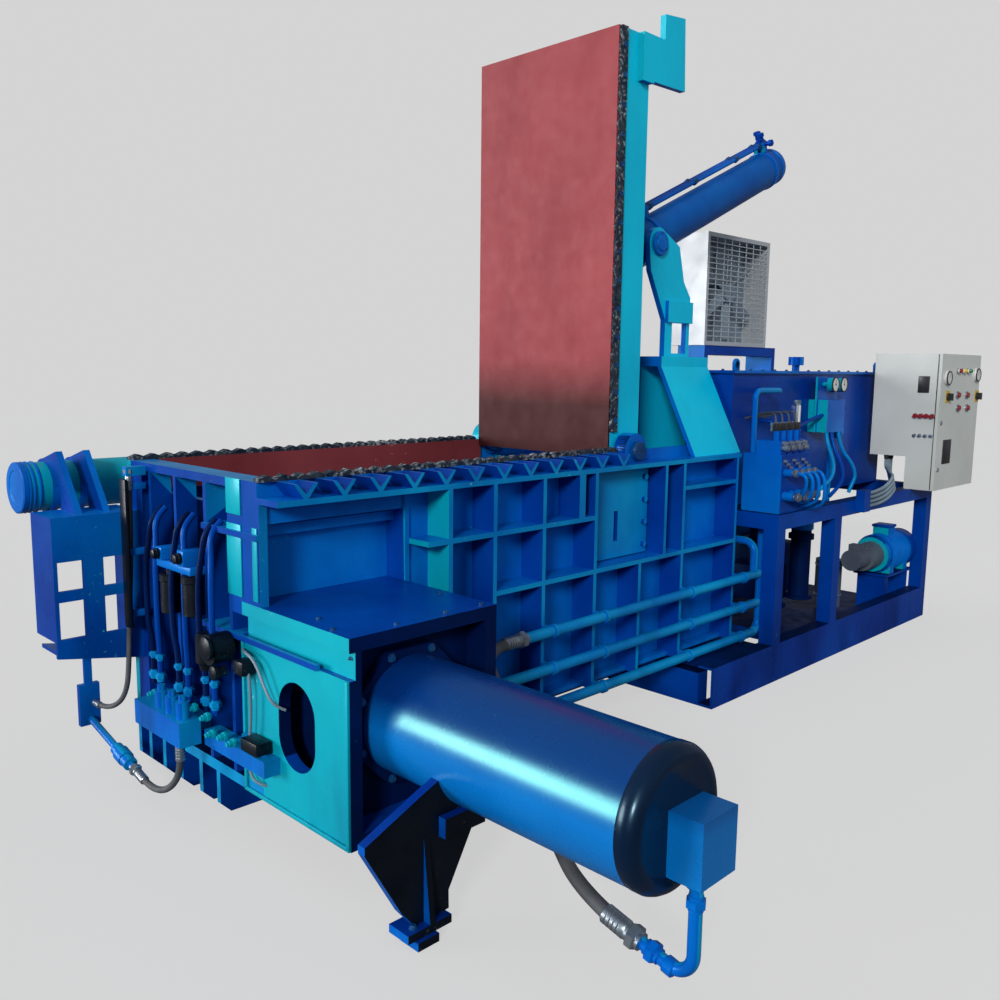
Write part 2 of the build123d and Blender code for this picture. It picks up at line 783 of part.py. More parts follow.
def press_cylinder():
    y, z = press_axis
    flange_t, over = press_flange
    body = round_x((body_length, press_end), y, z, press_r)
    body += round_x((body_length, body_length + flange_t), y, z, press_r + over)
    gland = (body_length, body_length + press_gland)
    body -= round_x((gland[1], press_end - press_cap), y, z, press_bore)
    body -= round_x(gland, y, z, press_rod_r + run_clear)
    (near, far), under, sink = press_port
    port_y = (y - under, y + under)
    port_z = (z - press_r - under, z - press_r + sink)
    return body + block((press_end - far, press_end - near), port_y, port_z)


def press_rod():
    y, z = press_axis
    near, far = press_piston
    start = press_ram_x[0] + ram_face
    rod = round_x((start, press_end - far), y, z, press_rod_r)
    rod += round_x((press_end - far, press_end - near), y, z, press_bore - run_clear)
    return rod + round_x((start, start + press_collar), y, z, press_rod_r + press_collar)


def press_ram():
    ram = block(press_ram_x, press_ram_y, press_ram_z)
    inner_y = (press_ram_y[0] + ram_wall, press_ram_y[1] - ram_wall)
    inner_z = (press_ram_z[0] + ram_wall, press_ram_z[1] - ram_wall)
    return ram - block((press_ram_x[0] + ram_face, press_ram_x[1]), inner_y, inner_z)


def front_foot():
    base = foot_plate_z[1]
    foot = block(*foot_pad, (0, foot_plate_z[0]))
    foot += block(foot_plate_x, foot_plate_y, foot_plate_z)
    foot += plate_xz(foot_outline, foot_web_y) - round_y(big_x, foot_web_y, big_z, big_r + side_gap)
    saddle = block(foot_saddle_x, foot_plate_y, foot_saddle_z)
    foot += saddle - round_y(big_x, foot_plate_y, big_z, big_r + side_gap)
    rib = [(foot_plate_y[0], base), (foot_web_y[0], base), (foot_web_y[0], foot_rib_top)]
    back = foot_plate_y[1]
    rib_back = [(foot_web_y[1], base), (back, base), (back + foot_rib_lean, foot_rib_top)]
    rib_back.append((foot_web_y[1], foot_rib_top))
    return foot + plate_yz(rib, foot_rib_x) + plate_yz(rib_back, foot_rib_x)


def gate_frame():
    x = guide_x
    left, right = guide_foot
    web_y = (guide_y[0], guide_y[0] + guide_t)
    frame = plate_xz([(x[0], left), (x[1], right), (x[1], guide_top), (x[0], guide_top)], web_y)
    for window_x, window_z in guide_windows:
        frame -= block(window_x, web_y, window_z)
    frame += block((x[0], x[0] + guide_t), guide_y, (left + 4 * guide_t, guide_top))
    frame += block(x, guide_y, (guide_top - guide_t, guide_top))
    slope = [(x[0] + guide_t, left), (x[1], right), (x[1], right + guide_t), (x[0] + guide_t, left + guide_t)]
    frame += plate_xz(slope, (web_y[1], guide_y[1]))
    frame += block((x[1] - guide_t, x[1]), (web_y[1], guide_y[1]), (right + guide_t, guide_top - guide_t))
    frame += block(*hose_block)
    x, y, z = hose_block
    in_x, in_y, over = hose_block_neck
    frame += block((x[0] + in_x, x[1] - in_x), (y[0] + in_y, y[1] - in_y), (z[1], guide_foot[1] + over))
    return frame + door_cheeks()


def door_cheeks():
    """Two plates on the guide frame's top that clamp the bale door's cylinder."""
    y, z = door_axis
    over_door = door_z[1] + 8
    end = guide_y[1] - 2
    radius = door_cyl_r + cheek_over
    low, out, up = cheek_slope
    line = [(cheek_foot, guide_top), (end, guide_top), (end, over_door), (y - low, over_door),
            (y, z + radius), (y - out, z + door_cyl_r + up)]
    cheeks = Part()
    for place in cheek_places:
        x = (place, place + cheek_t)
        cheek = plate_yz(line, x) + round_x(x, y, z, radius)
        cheeks += cheek - round_x(x, y, z, door_cyl_r + clamp_clear)
    return cheeks


def gate():
    arm_x = (door_x[1], door_x[1] + door_arm)
    y, z = door_axis
    panel = block(door_x, door_y, door_z)
    arm = block(arm_x, door_y, (z + door_arm_z[0], z + door_arm_z[1]))
    end = (arm_x[1] - heavy_plate, arm_x[1])
    return panel + arm + block(end, (door_y[1], y + door_lug), (z - door_lug, z + door_lug))


def gate_cylinder():
    y, z = door_axis
    start, end = door_cyl_x
    body = round_x(door_cyl_x, y, z, door_cyl_r)
    body -= round_x((start + door_cap, end - door_gland), y, z, door_bore)
    return body - round_x((end - door_gland, end), y, z, door_rod_r + run_clear)


def gate_rod():
    y, z = door_axis
    near, far = door_piston
    piston_x = (door_cyl_x[1] - far, door_cyl_x[1] - near)
    rod = round_x((piston_x[1], door_x[1] + door_arm - heavy_plate), y, z, door_rod_r)
    return rod + round_x(piston_x, y, z, door_bore - run_clear)


def skid_frame():
    x, y = skid_x, skid_y
    frame = Part()
    for front, back, start in ((y[0], y[0] + leg, x[0]), (y[1] - leg, y[1], leg_places[0])):
        beam = block((start, x[1]), (front, back), (0, skid_h))
        inner = (front + skid_web, back) if front < 0 else (front, back - skid_web)
        frame += beam - block((start, x[1]), inner, (skid_wall, skid_h - skid_wall))
    for start in leg_places[1:]:
        frame += block((start, start + leg), (y[0] + skid_web, y[1] - skid_web), (skid_wall, tray_z[0]))
    frame += block((x[0], x[0] + leg), (y[0] + leg, fin_places[0] - 1), (0, floor_under))
    for start in leg_places:
        for front in (y[0], y[1] - leg):
            frame += block((start, start + leg), (front, front + leg), leg_z)
        frame += block((start, start + leg), (y[0] + leg, y[1] - leg), (leg_z[1] - rail_h, leg_z[1]))
    for front in (y[0], y[1] - leg):
        frame += block((leg_places[0], x[1]), (front, front + leg), (leg_z[1] - rail_h, leg_z[1]))
    return frame + drip_tray() + motor_stand() + conduit_box()


def drip_tray():
    x = (leg_places[1], skid_x[1])
    return block(x, (skid_y[0] + skid_web, skid_y[1] - skid_web), tray_z)


def oil_tank():
    tank = block(tank_x, tank_y, tank_z)
    inner = [(a + tank_wall, b - tank_wall) for a, b in (tank_x, tank_y, tank_z)]
    return tank - block(*inner)


def tank_cover():
    x = (tank_x[0] - cover_over, tank_x[1] + cover_over)
    y = (tank_y[0] - cover_over, tank_y[1] + cover_over)
    top = tank_z[1] + cover_t
    neck_r, neck_h = breather_neck
    cap_r, cap_h = breather_cap
    cover = block(x, y, (tank_z[1], top)) + round_z(*breather, (top, top + neck_h), neck_r)
    return cover + round_z(*breather, (top + neck_h, top + neck_h + cap_h), cap_r)


def cooler_inside():
    inside_x = (cooler_x[0] + cooler_wall, cooler_x[1] - cooler_wall)
    return inside_x, (cooler_z[0] + cooler_wall, cooler_z[1] - cooler_wall)


def cooler_middle():
    return (cooler_x[0] + cooler_x[1]) / 2, (cooler_z[0] + cooler_z[1]) / 2


def cooler_case():
    inside_x, inside_z = cooler_inside()
    case = block(cooler_x, cooler_y, cooler_z) - block(inside_x, cooler_y, inside_z)
    case += block(shelf_x, shelf_y, shelf_z)
    for x in (shelf_x[0], shelf_x[1] - shelf_leg_w):
        case += block((x, x + shelf_leg_w), shelf_y, (tank_z[1] + cover_t, shelf_z[0]))
    return case


def cooler_core():
    inside_x, inside_z = cooler_inside()
    x, z = cooler_middle()
    motor_r, motor_l = fan_motor
    back = cooler_y[1] - core_t
    core = block(inside_x, (back, cooler_y[1]), inside_z)
    core += round_y(x, (back - motor_l, back), z, motor_r)
    return core + round_y(x, (cooler_y[0] + shaft_start, back - motor_l), z, fan_shaft_r)


def cooler_fan():
    x, z = cooler_middle()
    y = (cooler_y[0] + fan_y[0], cooler_y[0] + fan_y[1])
    width, thick, twist = fan_blade
    fan = round_y(x, y, z, fan_hub_r)
    for i in range(fan_blades):
        length = fan_r - fan_y[0]
        middle = Pos(0, (y[0] + y[1]) / 2, fan_r - length / 2)
        blade = middle * Rot(0, 0, twist) * Box(width, thick, length)
        fan += Pos(x, 0, z) * Rot(0, 360 / fan_blades * i, 0) * blade
    return fan - round_y(x, y, z, fan_shaft_r + run_clear)


def cooler_grille():
    y = (cooler_y[0] - grille_t, cooler_y[0])
    hole_x = (cooler_x[0] + grille_edge, cooler_x[1] - grille_edge)
    hole_z = (cooler_z[0] + grille_edge, cooler_z[1] - grille_edge)
    rows, columns = grille_bars
    grille = block(cooler_x, y, cooler_z) - block(hole_x, y, hole_z)
    for i in range(1, rows):
        z = hole_z[0] + i * (hole_z[1] - hole_z[0]) / rows
        grille += block(hole_x, (y[0], y[0] + grille_wire), (z - grille_wire / 2, z + grille_wire / 2))
    for i in range(1, columns):
        x = hole_x[0] + i * (hole_x[1] - hole_x[0]) / columns
        grille += block((x - grille_bar / 2, x + grille_bar / 2), (y[0] + grille_wire, y[1]), hole_z)
    return grille


def knuckle_spans(z, part):
    """Heights of the case's or the door's knuckles, each hinge having one below and one above."""
    spans = []
    for share in knuckle_shares:
        low = z[0] + share * (z[1] - z[0])
        start = low if part == "case" else low + knuckle_h + side_gap
        spans.append((start, start + knuckle_h))
    return spans


def case_knuckles(axis, z, leaf):
    knuckles = Part()
    for span in knuckle_spans(z, "case"):
        knuckles += round_z(*axis, span, knuckle_r) + block(leaf[0], leaf[1], span)
        knuckles += round_z(*axis, (span[1], span[1] + knuckle_h), hinge_rod_r)
    return knuckles


def door_knuckles(axis, z, leaf):
    knuckles = Part()
    for span in knuckle_spans(z, "door"):
        knuckles += round_z(*axis, span, knuckle_r) + block(leaf[0], leaf[1], span)
        knuckles -= round_z(*axis, span, hinge_rod_r + run_clear)
    return knuckles


def cabinet_case():
    x = (cab_x[0], cab_x[1] - door_t)
    inner_y = (cab_y[0] + sheet_t, cab_y[1] - sheet_t)
    inner_z = (cab_z[0] + sheet_t, cab_z[1] - sheet_t)
    case = block(x, cab_y, cab_z) - block((x[0] + sheet_t, x[1]), inner_y, inner_z)
    axis = cabinet_hinge
    return case + case_knuckles(axis, cab_z, ((axis[0] - leaf_w, axis[0]), (cab_y[1], cab_y[1] + leaf_t)))


def cabinet_door():
    door = block((cab_x[1] - door_t + side_gap, cab_x[1]), cab_y, cab_z)
    axis = cabinet_hinge
    x = (cab_x[1] - door_t + side_gap, cab_x[1] - door_t + side_gap + leaf_t)
    return door + door_knuckles(axis, cab_z, (x, (cab_y[1], axis[1])))


def console_case():
    y = (desk_y[0] + door_t, desk_y[1])
    case = block(cab_x, y, desk_z)
    inner_x = (cab_x[0] + sheet_t, cab_x[1] - sheet_t)
    case -= block(inner_x, (y[0], y[1] - sheet_t), (desk_z[0] + sheet_t, desk_z[1] - sheet_t))
    for place in side_button_places:
        case -= round_x((cab_x[0], inner_x[0]), place, side_button_z, button_r - side_button_less + side_gap)
    axis = console_hinge
    leaf = ((cab_x[1], cab_x[1] + leaf_t), (axis[1], axis[1] + leaf_w))
    return case + case_knuckles(axis, desk_z, leaf)


def console_door():
    y = (desk_y[0], desk_y[0] + door_t - side_gap)
    panel = block(cab_x, y, desk_z)
    for x, z in button_places:
        panel -= round_y(x, y, z, button_r + side_gap)
    axis = console_hinge
    leaf = ((cab_x[1] - leaf_t, axis[0]), (y[1] - leaf_t, y[1]))
    return panel + door_knuckles(axis, desk_z, leaf)


def slot_plate():
    x = (slot_plate_x[0] + slot_margin[0], slot_plate_x[1] - slot_margin[1])
    y = (-slot_sheet_t, 0)
    sheet = block(x, y, slot_plate_z) - block(slot_line[0], y, slot_line[1])
    low, high = slot_plate_z[0] + slot_bolt_ends, slot_plate_z[1] - slot_bolt_ends
    for place in (x[0] + slot_bolt_in, x[1] - slot_bolt_in):
        for i in range(slot_bolt_rows):
            z = low + i * (high - low) / (slot_bolt_rows - 1)
            sheet += round_y(place, (y[0] - slot_bolt_r, y[0]), z, slot_bolt_r)
    return sheet


def power_pump():
    y, z = motor_axis
    (first, first_r), (second, second_r) = pump_steps
    start = motor_x[0]
    body = round_x((start - first, start), y, z, first_r)
    body += round_x((start - second, start - first), y, z, second_r)
    (near, far), half, (low, high) = pump_port
    return body + block((start - far, start - near), (y - half, y + half), (z + low, z + high))


def motor():
    y, z = motor_axis
    first, rib_t, rib_over = motor_rib
    body = round_x(motor_x, y, z, motor_r)
    spacing = (motor_x[1] - motor_x[0] - 2 * first - 2 * rib_t + 4) / (motor_ribs - 1)
    for i in range(motor_ribs):
        x = motor_x[0] + first + i * spacing
        body += round_x((x, x + rib_t), y, z, motor_r + rib_over)
    (front, back), foot_w, half, up = motor_foot
    for x in (motor_x[0] + front, motor_x[1] - back - foot_w):
        body += block((x, x + foot_w), (y - half, y + half), (motor_stand_top, z - up))
    (near, far), half, low, over = motor_box
    box_x = (motor_x[0] + near, motor_x[0] + far)
    return body + block(box_x, (y - half, y + half), (z + low, z + motor_r + over))


def motor_stand():
    y = motor_axis[0]
    top_t, half = stand_top
    (front, back), width, leg_half = stand_legs
    stand = block(motor_x, (y - half, y + half), (motor_stand_top - top_t, motor_stand_top))
    for x in (motor_x[0] + front, motor_x[1] - back):
        stand += block((x, x + width), (y - leg_half, y + leg_half), (tray_z[1], motor_stand_top - top_t))
    return stand


def suction_filter():
    foot_r, foot_h = filter_foot
    cap_r, cap_h = filter_cap
    base = tray_z[1] + foot_h
    can = round_z(*filter_place, (tray_z[1], base), foot_r)
    can += round_z(*filter_place, (base, filter_top), filter_r)
    return can + round_z(*filter_place, (filter_top, filter_top + cap_h), cap_r)


def valve_block():
    body = block(valve_x, valve_y, valve_z)
    top = valve_z[1]
    back, width, depth, height = solenoid
    stem_x, stem_y, stem_h, stem_r = solenoid_stem
    for i in range(valve_count):
        x = valve_x[0] + back + i * valve_pitch
        body += block((x, x + width), (valve_y[0] + back, valve_y[0] + depth), (top, top + height))
        body += round_z(x + stem_x, valve_y[0] + stem_y, (top + height, top + height + stem_h), stem_r)
        for out, up, radius in valve_ports:
            port_x = valve_x[0] + valve_port_first + i * valve_pitch
            body += round_y(port_x, (valve_y[0] - out, valve_y[0]), valve_z[0] + up, radius)
    return body


def gauge_manifold():
    x, y, z = gauge_block
    plate_y = (y[1], y[1] + gauge_plate_t)
    body = block((x[0] - plate, x[1] + plate), plate_y, (z[0], gauge_z + gauge_r))
    for side in (x[0], x[1] - heavy_plate):
        body += block((side, side + heavy_plate), (plate_y[1], tank_y[0]), z)
    body += block(x, y, z)
    stem_r, stem_l = gauge_stem
    for place in gauge_places:
        body += round_y(place, (y[1] - stem_l, y[1]), gauge_z, stem_r)
        body += round_y(place, (y[1] - gauge_case, y[1] - stem_l), gauge_z, gauge_r)
    return body


def hydraulic_pipes():
    y = wall_pipe_y
    group = []
    for start, height, riser in wall_pipes:
        points = [(start, y, height), (riser, y, height), (riser, y, valve_z[0])]
        group.append(pipe(points, pipe_r, wall_pipe_bend))
    group.append(round_z(*gauge_pipe, (tank_z[0] - pipe_bend, gauge_block[2][0]), gauge_pipe_r))
    x = ram_hose_route[0][0]
    port = [(x, big_pipe_y, big_pipe_z[0]), (x, big_pipe_y, big_pipe_z[1]), ram_hose_route[0]]
    group.append(pipe(port, big_pipe_r, pipe_bend))
    group.append(pipe(valve_loop, loop_r, loop_bend))
    x = press_feed[0][0]
    feed = round_x((x - pipe_bend, x + pipe_bend), y, feed_z, pipe_r)
    group.append(pipe(press_feed, press_feed_r, pipe_bend) - feed)
    return Compound(group + pipe_clamps() + end_valves())


def end_valves():
    """Valves, fittings and pipes in front of the bale end's frame."""
    group = []
    x, y, z = low_valve
    side, up = low_valve_neck
    low = block(x, y, z) + block((x[1], 0), (y[0] + side, y[1] - side), (z[0] + up, z[1] - up))
    (first, first_r), (second, second_r) = low_valve_cap
    for place in low_valve_caps:
        at = ((x[0] + x[1]) / 2, y[0] + place)
        low += round_z(*at, (z[1], z[1] + first), first_r)
        low += round_z(*at, (z[1] + first, z[1] + second), second_r)
    group.append(low)
    x, y, z = dark_block
    beam = block(x, y, z)
    cap_h, cap_r = dark_block_cap
    for place in dark_block_caps:
        beam += round_z((x[0] + x[1]) / 2, y[0] + place, (z[1], z[1] + cap_h), cap_r)
    group.append(beam)
    y, z = black_valve
    valve = Part()
    for near, far, radius in black_valve_steps:
        valve += round_x((near, far), y, z, radius)
    group.append(valve)
    group.append(return_union())
    x, y, z = drain_hose_route[0]
    half, height = drain_fitting
    group.append(block((x - half, 0), (y - half, y + half), (z, z + height)))
    return group


def return_union():
    """The pipe from the hose block with its hex pieces, up to the short hose."""
    start = Vector(*return_hose_route[0])
    run = Vector(*return_pipe) - start
    way = run.normalized()
    pieces = Part()
    for near, far, radius in [(0, run.length, loop_r)] + union_steps:
        near = max(near, joint_gap)
        pieces += Plane(origin=start + way * near, z_dir=way) * Cylinder(radius, far - near, align=on_base)
    return pieces


def pipe_clamps():
    clamps = []
    for x in rib_places[2:]:
        for z in (feed_z, return_z, drain_z):
            if z == drain_z and x == rib_places[2]:
                continue
            y = wall_pipe_y
            span = (x, x + plate)
            strap = round_x(span, y, z, pipe_r + strap_t)
            strap += block(span, (y, -rib_depth), (z - strap_h / 2, z + strap_h / 2))
            clamps.append(strap - round_x(span, y, z, pipe_r))
    return clamps


def lid_pipes():
    start, end = lid_pipe_span
    length, width, height = lid_pipe_foot
    foot_z = lid_barrel_r + lid_pipe_side
    pipes = Part()
    for side in (-lid_pipe_side, lid_pipe_side):
        middle = Pos((start + end) / 2, side, lid_barrel_r + lid_pipe_over)
        pipes += middle * Rot(0, 90, 0) * Cylinder(lid_pipe_r, end - start)
        for place in (start + plate, end - plate):
            pipes += Pos(place, side, foot_z) * Box(length, width, height)
    moved = Pos(trunnion[0], cyl_y, trunnion[1]) * Rot(0, -lid_cyl_angle, 0) * pipes
    return moved - lid_round((0, lid_barrel_back), lid_barrel_r)


def panel_fixtures():
    y = desk_y[0]
    group = []
    for x, z in meter_places:
        group.append(round_y(x, (y - meter_t, y), z, meter_r))
    for x in lamp_places:
        group.append(round_y(x, (y - lamp_t, y), lamp_z, lamp_r))
    return Compound(group)


def front_buttons():
    y = (desk_y[0] - button_out, desk_y[0] + button_in)
    return {f"front_button_{i + 1}": round_y(x, y, z, button_r) for i, (x, z) in enumerate(button_places)}


def side_buttons():
    x = (cab_x[0] - side_button_out, cab_x[0] + side_button_in)
    radius = button_r - side_button_less
    return {f"side_button_{i + 1}": round_x(x, y, side_button_z, radius)
            for i, y in enumerate(side_button_places)}


def rotary_switches():
    front = desk_y[0] - knob_t
    half, out, less = knob_bar
    knobs = {}
    for i, (x, z) in enumerate(switch_places):
        knob = round_y(x, (front, desk_y[0] - knob_gap), z, knob_r)
        bar_z = (z - knob_r + less, z + knob_r - less)
        knobs[f"rotary_switch_{i + 1}"] = knob + block((x - half, x + half), (front - out, front), bar_z)
    return knobs


def control_conduits():
    group = []
    for i in range(conduit_count):
        over = (conduit_count - 1 - i) * conduit_pitch
        x = conduit_start[0] + i * conduit_pitch
        points = [(x, conduit_start[1], cab_z[0])]
        points.append((x, conduit_start[1], conduit_start[2] + over / 3))
        for place, reach, height in conduit_line:
            points.append((place + i * conduit_pitch / 2, reach, height + over))
        points.append((conduit_box_x[1], conduit_end_y, conduit_line[-1][2] + over))
        group.append(cord(f"conduit {i + 1}", points, conduit_r))
    return Compound(group)


def conduit_box():
    low = conduit_line[-1][2] - conduit_pitch
    high = conduit_line[-1][2] + conduit_count * conduit_pitch
    return block(conduit_box_x, (conduit_end_y - conduit_pitch, skid_y[0]), (low, high))


def build_all():
    parts = {}
    parts["front_wall"] = front_wall()
    parts["back_wall"] = back_wall()
    parts["end_frame"] = end_frame()
    parts["chamber_floor"] = chamber_floor()
    parts["ram_housing"] = ram_housing()
    parts["ram_tunnel"] = ram_tunnel()
    parts["wall_blades"] = wall_blades()
    parts["liner_plates"] = liner_plates()
    parts["lid"] = lid_part()
    parts["lid_liner"] = lid_liner()
    parts["lid_blades"] = lid_blades()
    parts["hinge_pins"] = hinge_pins()
    parts["lid_towers"] = lid_towers()
    parts["lid_cylinder"] = lid_cylinder()
    parts["lid_rod"] = lid_rod()
    parts["final_cylinder"] = final_cylinder()
    parts["final_rod"] = final_rod()
    parts["final_ram"] = final_ram()
    parts["press_cylinder"] = press_cylinder()
    parts["press_rod"] = press_rod()
    parts["press_ram"] = press_ram()
    parts["front_foot"] = front_foot()
    parts["gate_frame"] = gate_frame()
    parts["gate"] = gate()
    parts["gate_cylinder"] = gate_cylinder()
    parts["gate_rod"] = gate_rod()
    parts["skid_frame"] = skid_frame()
    parts["oil_tank"] = oil_tank()
    parts["tank_cover"] = tank_cover()
    parts["cooler_case"] = cooler_case()
    parts["cooler_core"] = cooler_core()
    parts["cooler_fan"] = cooler_fan()
    parts["cooler_grille"] = cooler_grille()
    parts["cabinet_case"] = cabinet_case()
    parts["cabinet_door"] = cabinet_door()
    parts["console_case"] = console_case()
    parts["console_door"] = console_door()
    parts["slot_plate"] = slot_plate()
    parts["motor"] = motor()
    parts["pump"] = power_pump()
    parts["suction_filter"] = suction_filter()
    parts["valve_block"] = valve_block()
    parts["gauge_manifold"] = gauge_manifold()
    parts["hydraulic_pipes"] = hydraulic_pipes()
    parts["lid_pipes"] = lid_pipes()
    parts["panel_fixtures"] = panel_fixtures()
    parts.update(front_buttons())
    parts.update(side_buttons())
    parts.update(rotary_switches())
    parts["control_conduits"] = control_conduits()
    parts["ram_hose"] = cord("ram_hose", ram_hose_route, hose_r)
    parts["drain_hose"] = cord("drain_hose", drain_hose_route, drain_hose_r)
    parts["return_hose"] = cord("return_hose", return_hose_route, return_hose_r)
    return parts


def write(parts):
    os.makedirs("parts", exist_ok=True)
    boxes = [p.bounding_box() for name, p in parts.items() if not name.endswith("_hose")]
    low = Vector(min(b.min.X for b in boxes), min(b.min.Y for b in boxes), 0)
    high = Vector(max(b.max.X for b in boxes), max(b.max.Y for b in boxes), 0)
    centre = (low + high) / 2
    for name, shape in parts.items():
        export_step(Pos(-centre.X, -centre.Y, 0) * shape, f"parts/{name}.step")
    print("origin in the modelling frame", round(centre.X, 3), round(centre.Y, 3))


write(build_all())
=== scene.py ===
import json
import math

import bpy
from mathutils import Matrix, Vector


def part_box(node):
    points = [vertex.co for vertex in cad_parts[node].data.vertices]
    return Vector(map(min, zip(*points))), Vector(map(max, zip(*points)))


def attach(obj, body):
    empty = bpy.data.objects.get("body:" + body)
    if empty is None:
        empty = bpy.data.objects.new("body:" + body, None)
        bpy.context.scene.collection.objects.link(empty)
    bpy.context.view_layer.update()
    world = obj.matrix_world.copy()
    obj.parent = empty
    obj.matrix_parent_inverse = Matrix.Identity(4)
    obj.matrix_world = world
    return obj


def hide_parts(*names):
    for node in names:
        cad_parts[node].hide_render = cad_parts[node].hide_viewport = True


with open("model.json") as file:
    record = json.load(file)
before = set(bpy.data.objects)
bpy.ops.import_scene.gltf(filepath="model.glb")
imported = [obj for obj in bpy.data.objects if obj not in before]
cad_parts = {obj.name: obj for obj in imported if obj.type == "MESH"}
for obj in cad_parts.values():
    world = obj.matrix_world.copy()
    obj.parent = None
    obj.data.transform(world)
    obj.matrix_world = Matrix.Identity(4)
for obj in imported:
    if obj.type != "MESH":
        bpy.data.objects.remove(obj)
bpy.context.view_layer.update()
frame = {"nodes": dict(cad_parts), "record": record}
nodes = frame["nodes"]
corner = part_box("chamber_floor")[0]


def place(x, y, z):
    # the baler is measured in millimetres from the outer corner of the press box, on the floor
    return Vector((corner.x + x / 1000, corner.y + y / 1000, z / 1000))


# Camera, light and floor
cameraSetup = {"eye": (-1560, -2656, 1600), "turn": 44.915, "tilt": -7.966, "roll": 0.668, "lens": 33.827,
               "sensor": 36}


def setCamera(setup):
    turn, tilt, roll = (math.radians(setup[k]) for k in ("turn", "tilt", "roll"))
    ahead = Vector((math.cos(tilt) * math.cos(turn), math.cos(tilt) * math.sin(turn), math.sin(tilt)))
    side = ahead.cross(Vector((0, 0, 1))).normalized()
    over = side.cross(ahead)
    right = math.cos(roll) * side + math.sin(roll) * over
    up = -math.sin(roll) * side + math.cos(roll) * over
    bpy.ops.object.camera_add(location=place(*setup["eye"]))
    camera = bpy.context.active_object
    camera.name = "photo_camera"
    turned = camera.matrix_world.to_3x3()
    for i in range(3):
        turned[i] = (right[i], up[i], -ahead[i])
    camera.rotation_euler = turned.to_euler()
    camera.data.sensor_width = setup["sensor"]
    camera.data.lens = setup["lens"]
    bpy.context.scene.camera = camera


lampSetup = [
    {"name": "key_sun", "kind": "SUN", "at": (-5000, -3000, 3000), "way": (0.80, 0.46, -0.36),
     "strength": 2.1, "size": 12, "tint": (1.0, 1.0, 0.98), "gloss": True},
    {"name": "sky_sun", "kind": "SUN", "at": (0, 0, 6000), "way": (0.1, -0.25, -1),
     "strength": 0.55, "size": 60, "tint": (1.0, 1.0, 1.0), "gloss": False},
    {"name": "barrel_sun", "kind": "SUN", "at": (-3630, 1950, 1075), "way": (0.786, -0.61, -0.12),
     "strength": 2.3, "size": 24, "tint": (1.0, 1.0, 1.0), "gloss": True},
    {"name": "front_lamp", "kind": "AREA", "at": (4200, -6200, 3600), "way": (-0.25, 0.9, -0.35),
     "strength": 70, "size": 2.6, "tint": (0.95, 0.97, 1.0), "gloss": False},
]
studio = {"backdrop": (0.66, 0.66, 0.66, 1), "ambient": (0.2, 0.21, 0.23, 1), "floorSize": 60,
          "floorTone": (0.14, 0.14, 0.14, 1), "floorGlow": 0.56, "floorRough": 0.85}


def addLamp(setup):
    bpy.ops.object.light_add(type=setup["kind"], location=place(*setup["at"]))
    lamp = bpy.context.active_object
    lamp.name = setup["name"]
    if setup["kind"] == "SUN":
        lamp.data.angle = math.radians(setup["size"])
    else:
        lamp.data.size = setup["size"]
    lamp.data.energy = setup["strength"]
    lamp.data.color = setup["tint"]
    lamp.visible_glossy = setup["gloss"]
    lamp.rotation_euler = Vector(setup["way"]).to_track_quat("-Z", "Y").to_euler()


def addWorld(backdrop, ambient):
    world = bpy.data.worlds.new("studio")
    bpy.context.scene.world = world
    world.use_nodes = True
    tree = world.node_tree
    tree.nodes.clear()
    rays = tree.nodes.new("ShaderNodeLightPath")
    seen = tree.nodes.new("ShaderNodeBackground")
    seen.inputs["Color"].default_value = backdrop
    soft = tree.nodes.new("ShaderNodeBackground")
    soft.inputs["Color"].default_value = ambient
    mix = tree.nodes.new("ShaderNodeMixShader")
    out = tree.nodes.new("ShaderNodeOutputWorld")
    tree.links.new(rays.outputs["Is Camera Ray"], mix.inputs["Fac"])
    tree.links.new(soft.outputs["Background"], mix.inputs[1])
    tree.links.new(seen.outputs["Background"], mix.inputs[2])
    tree.links.new(mix.outputs["Shader"], out.inputs["Surface"])


def addFloor():
    bpy.ops.mesh.primitive_plane_add(size=studio["floorSize"], location=(0, 0, -0.001))
    floor = bpy.context.active_object
    floor.name = "studio_floor"
    skin = bpy.data.materials.new("pale_floor")
    skin.use_nodes = True
    # part of the floor's paleness is its own, for the camera only, so it meets the backdrop without an edge
    tree = skin.node_tree
    shader = tree.nodes["Principled BSDF"]
    shader.inputs["Base Color"].default_value = studio["floorTone"]
    shader.inputs["Roughness"].default_value = studio["floorRough"]
    shader.inputs["Specular IOR Level"].default_value = 0.0
    rays = tree.nodes.new("ShaderNodeLightPath")
    glow = tree.nodes.new("ShaderNodeMath")
    glow.operation = "MULTIPLY"
    glow.inputs[1].default_value = studio["floorGlow"]
    shader.inputs["Emission Color"].default_value = (1, 1, 1, 1)
    tree.links.new(rays.outputs["Is Camera Ray"], glow.inputs[0])
    tree.links.new(glow.outputs["Value"], shader.inputs["Emission Strength"])
    floor.data.materials.append(skin)


setCamera(cameraSetup)
bpy.context.scene.view_settings.view_transform = "Standard"
for lampValues in lampSetup:
    addLamp(lampValues)
addWorld(studio["backdrop"], studio["ambient"])
addFloor()
print("camera, lamps and floor are up")


# Finishes
def newNode(tree, kind, **values):
    node = tree.nodes.new(kind)
    for key, value in values.items():
        setattr(node, key, value)
    return node


def mathNode(tree, operation, first, second, clamp=False):
    node = newNode(tree, "ShaderNodeMath", operation=operation, use_clamp=clamp)
    for socket, value in zip(node.inputs, (first, second)):
        if isinstance(value, (int, float)):
            socket.default_value = value
        else:
            tree.links.new(value, socket)
    return node.outputs[0]


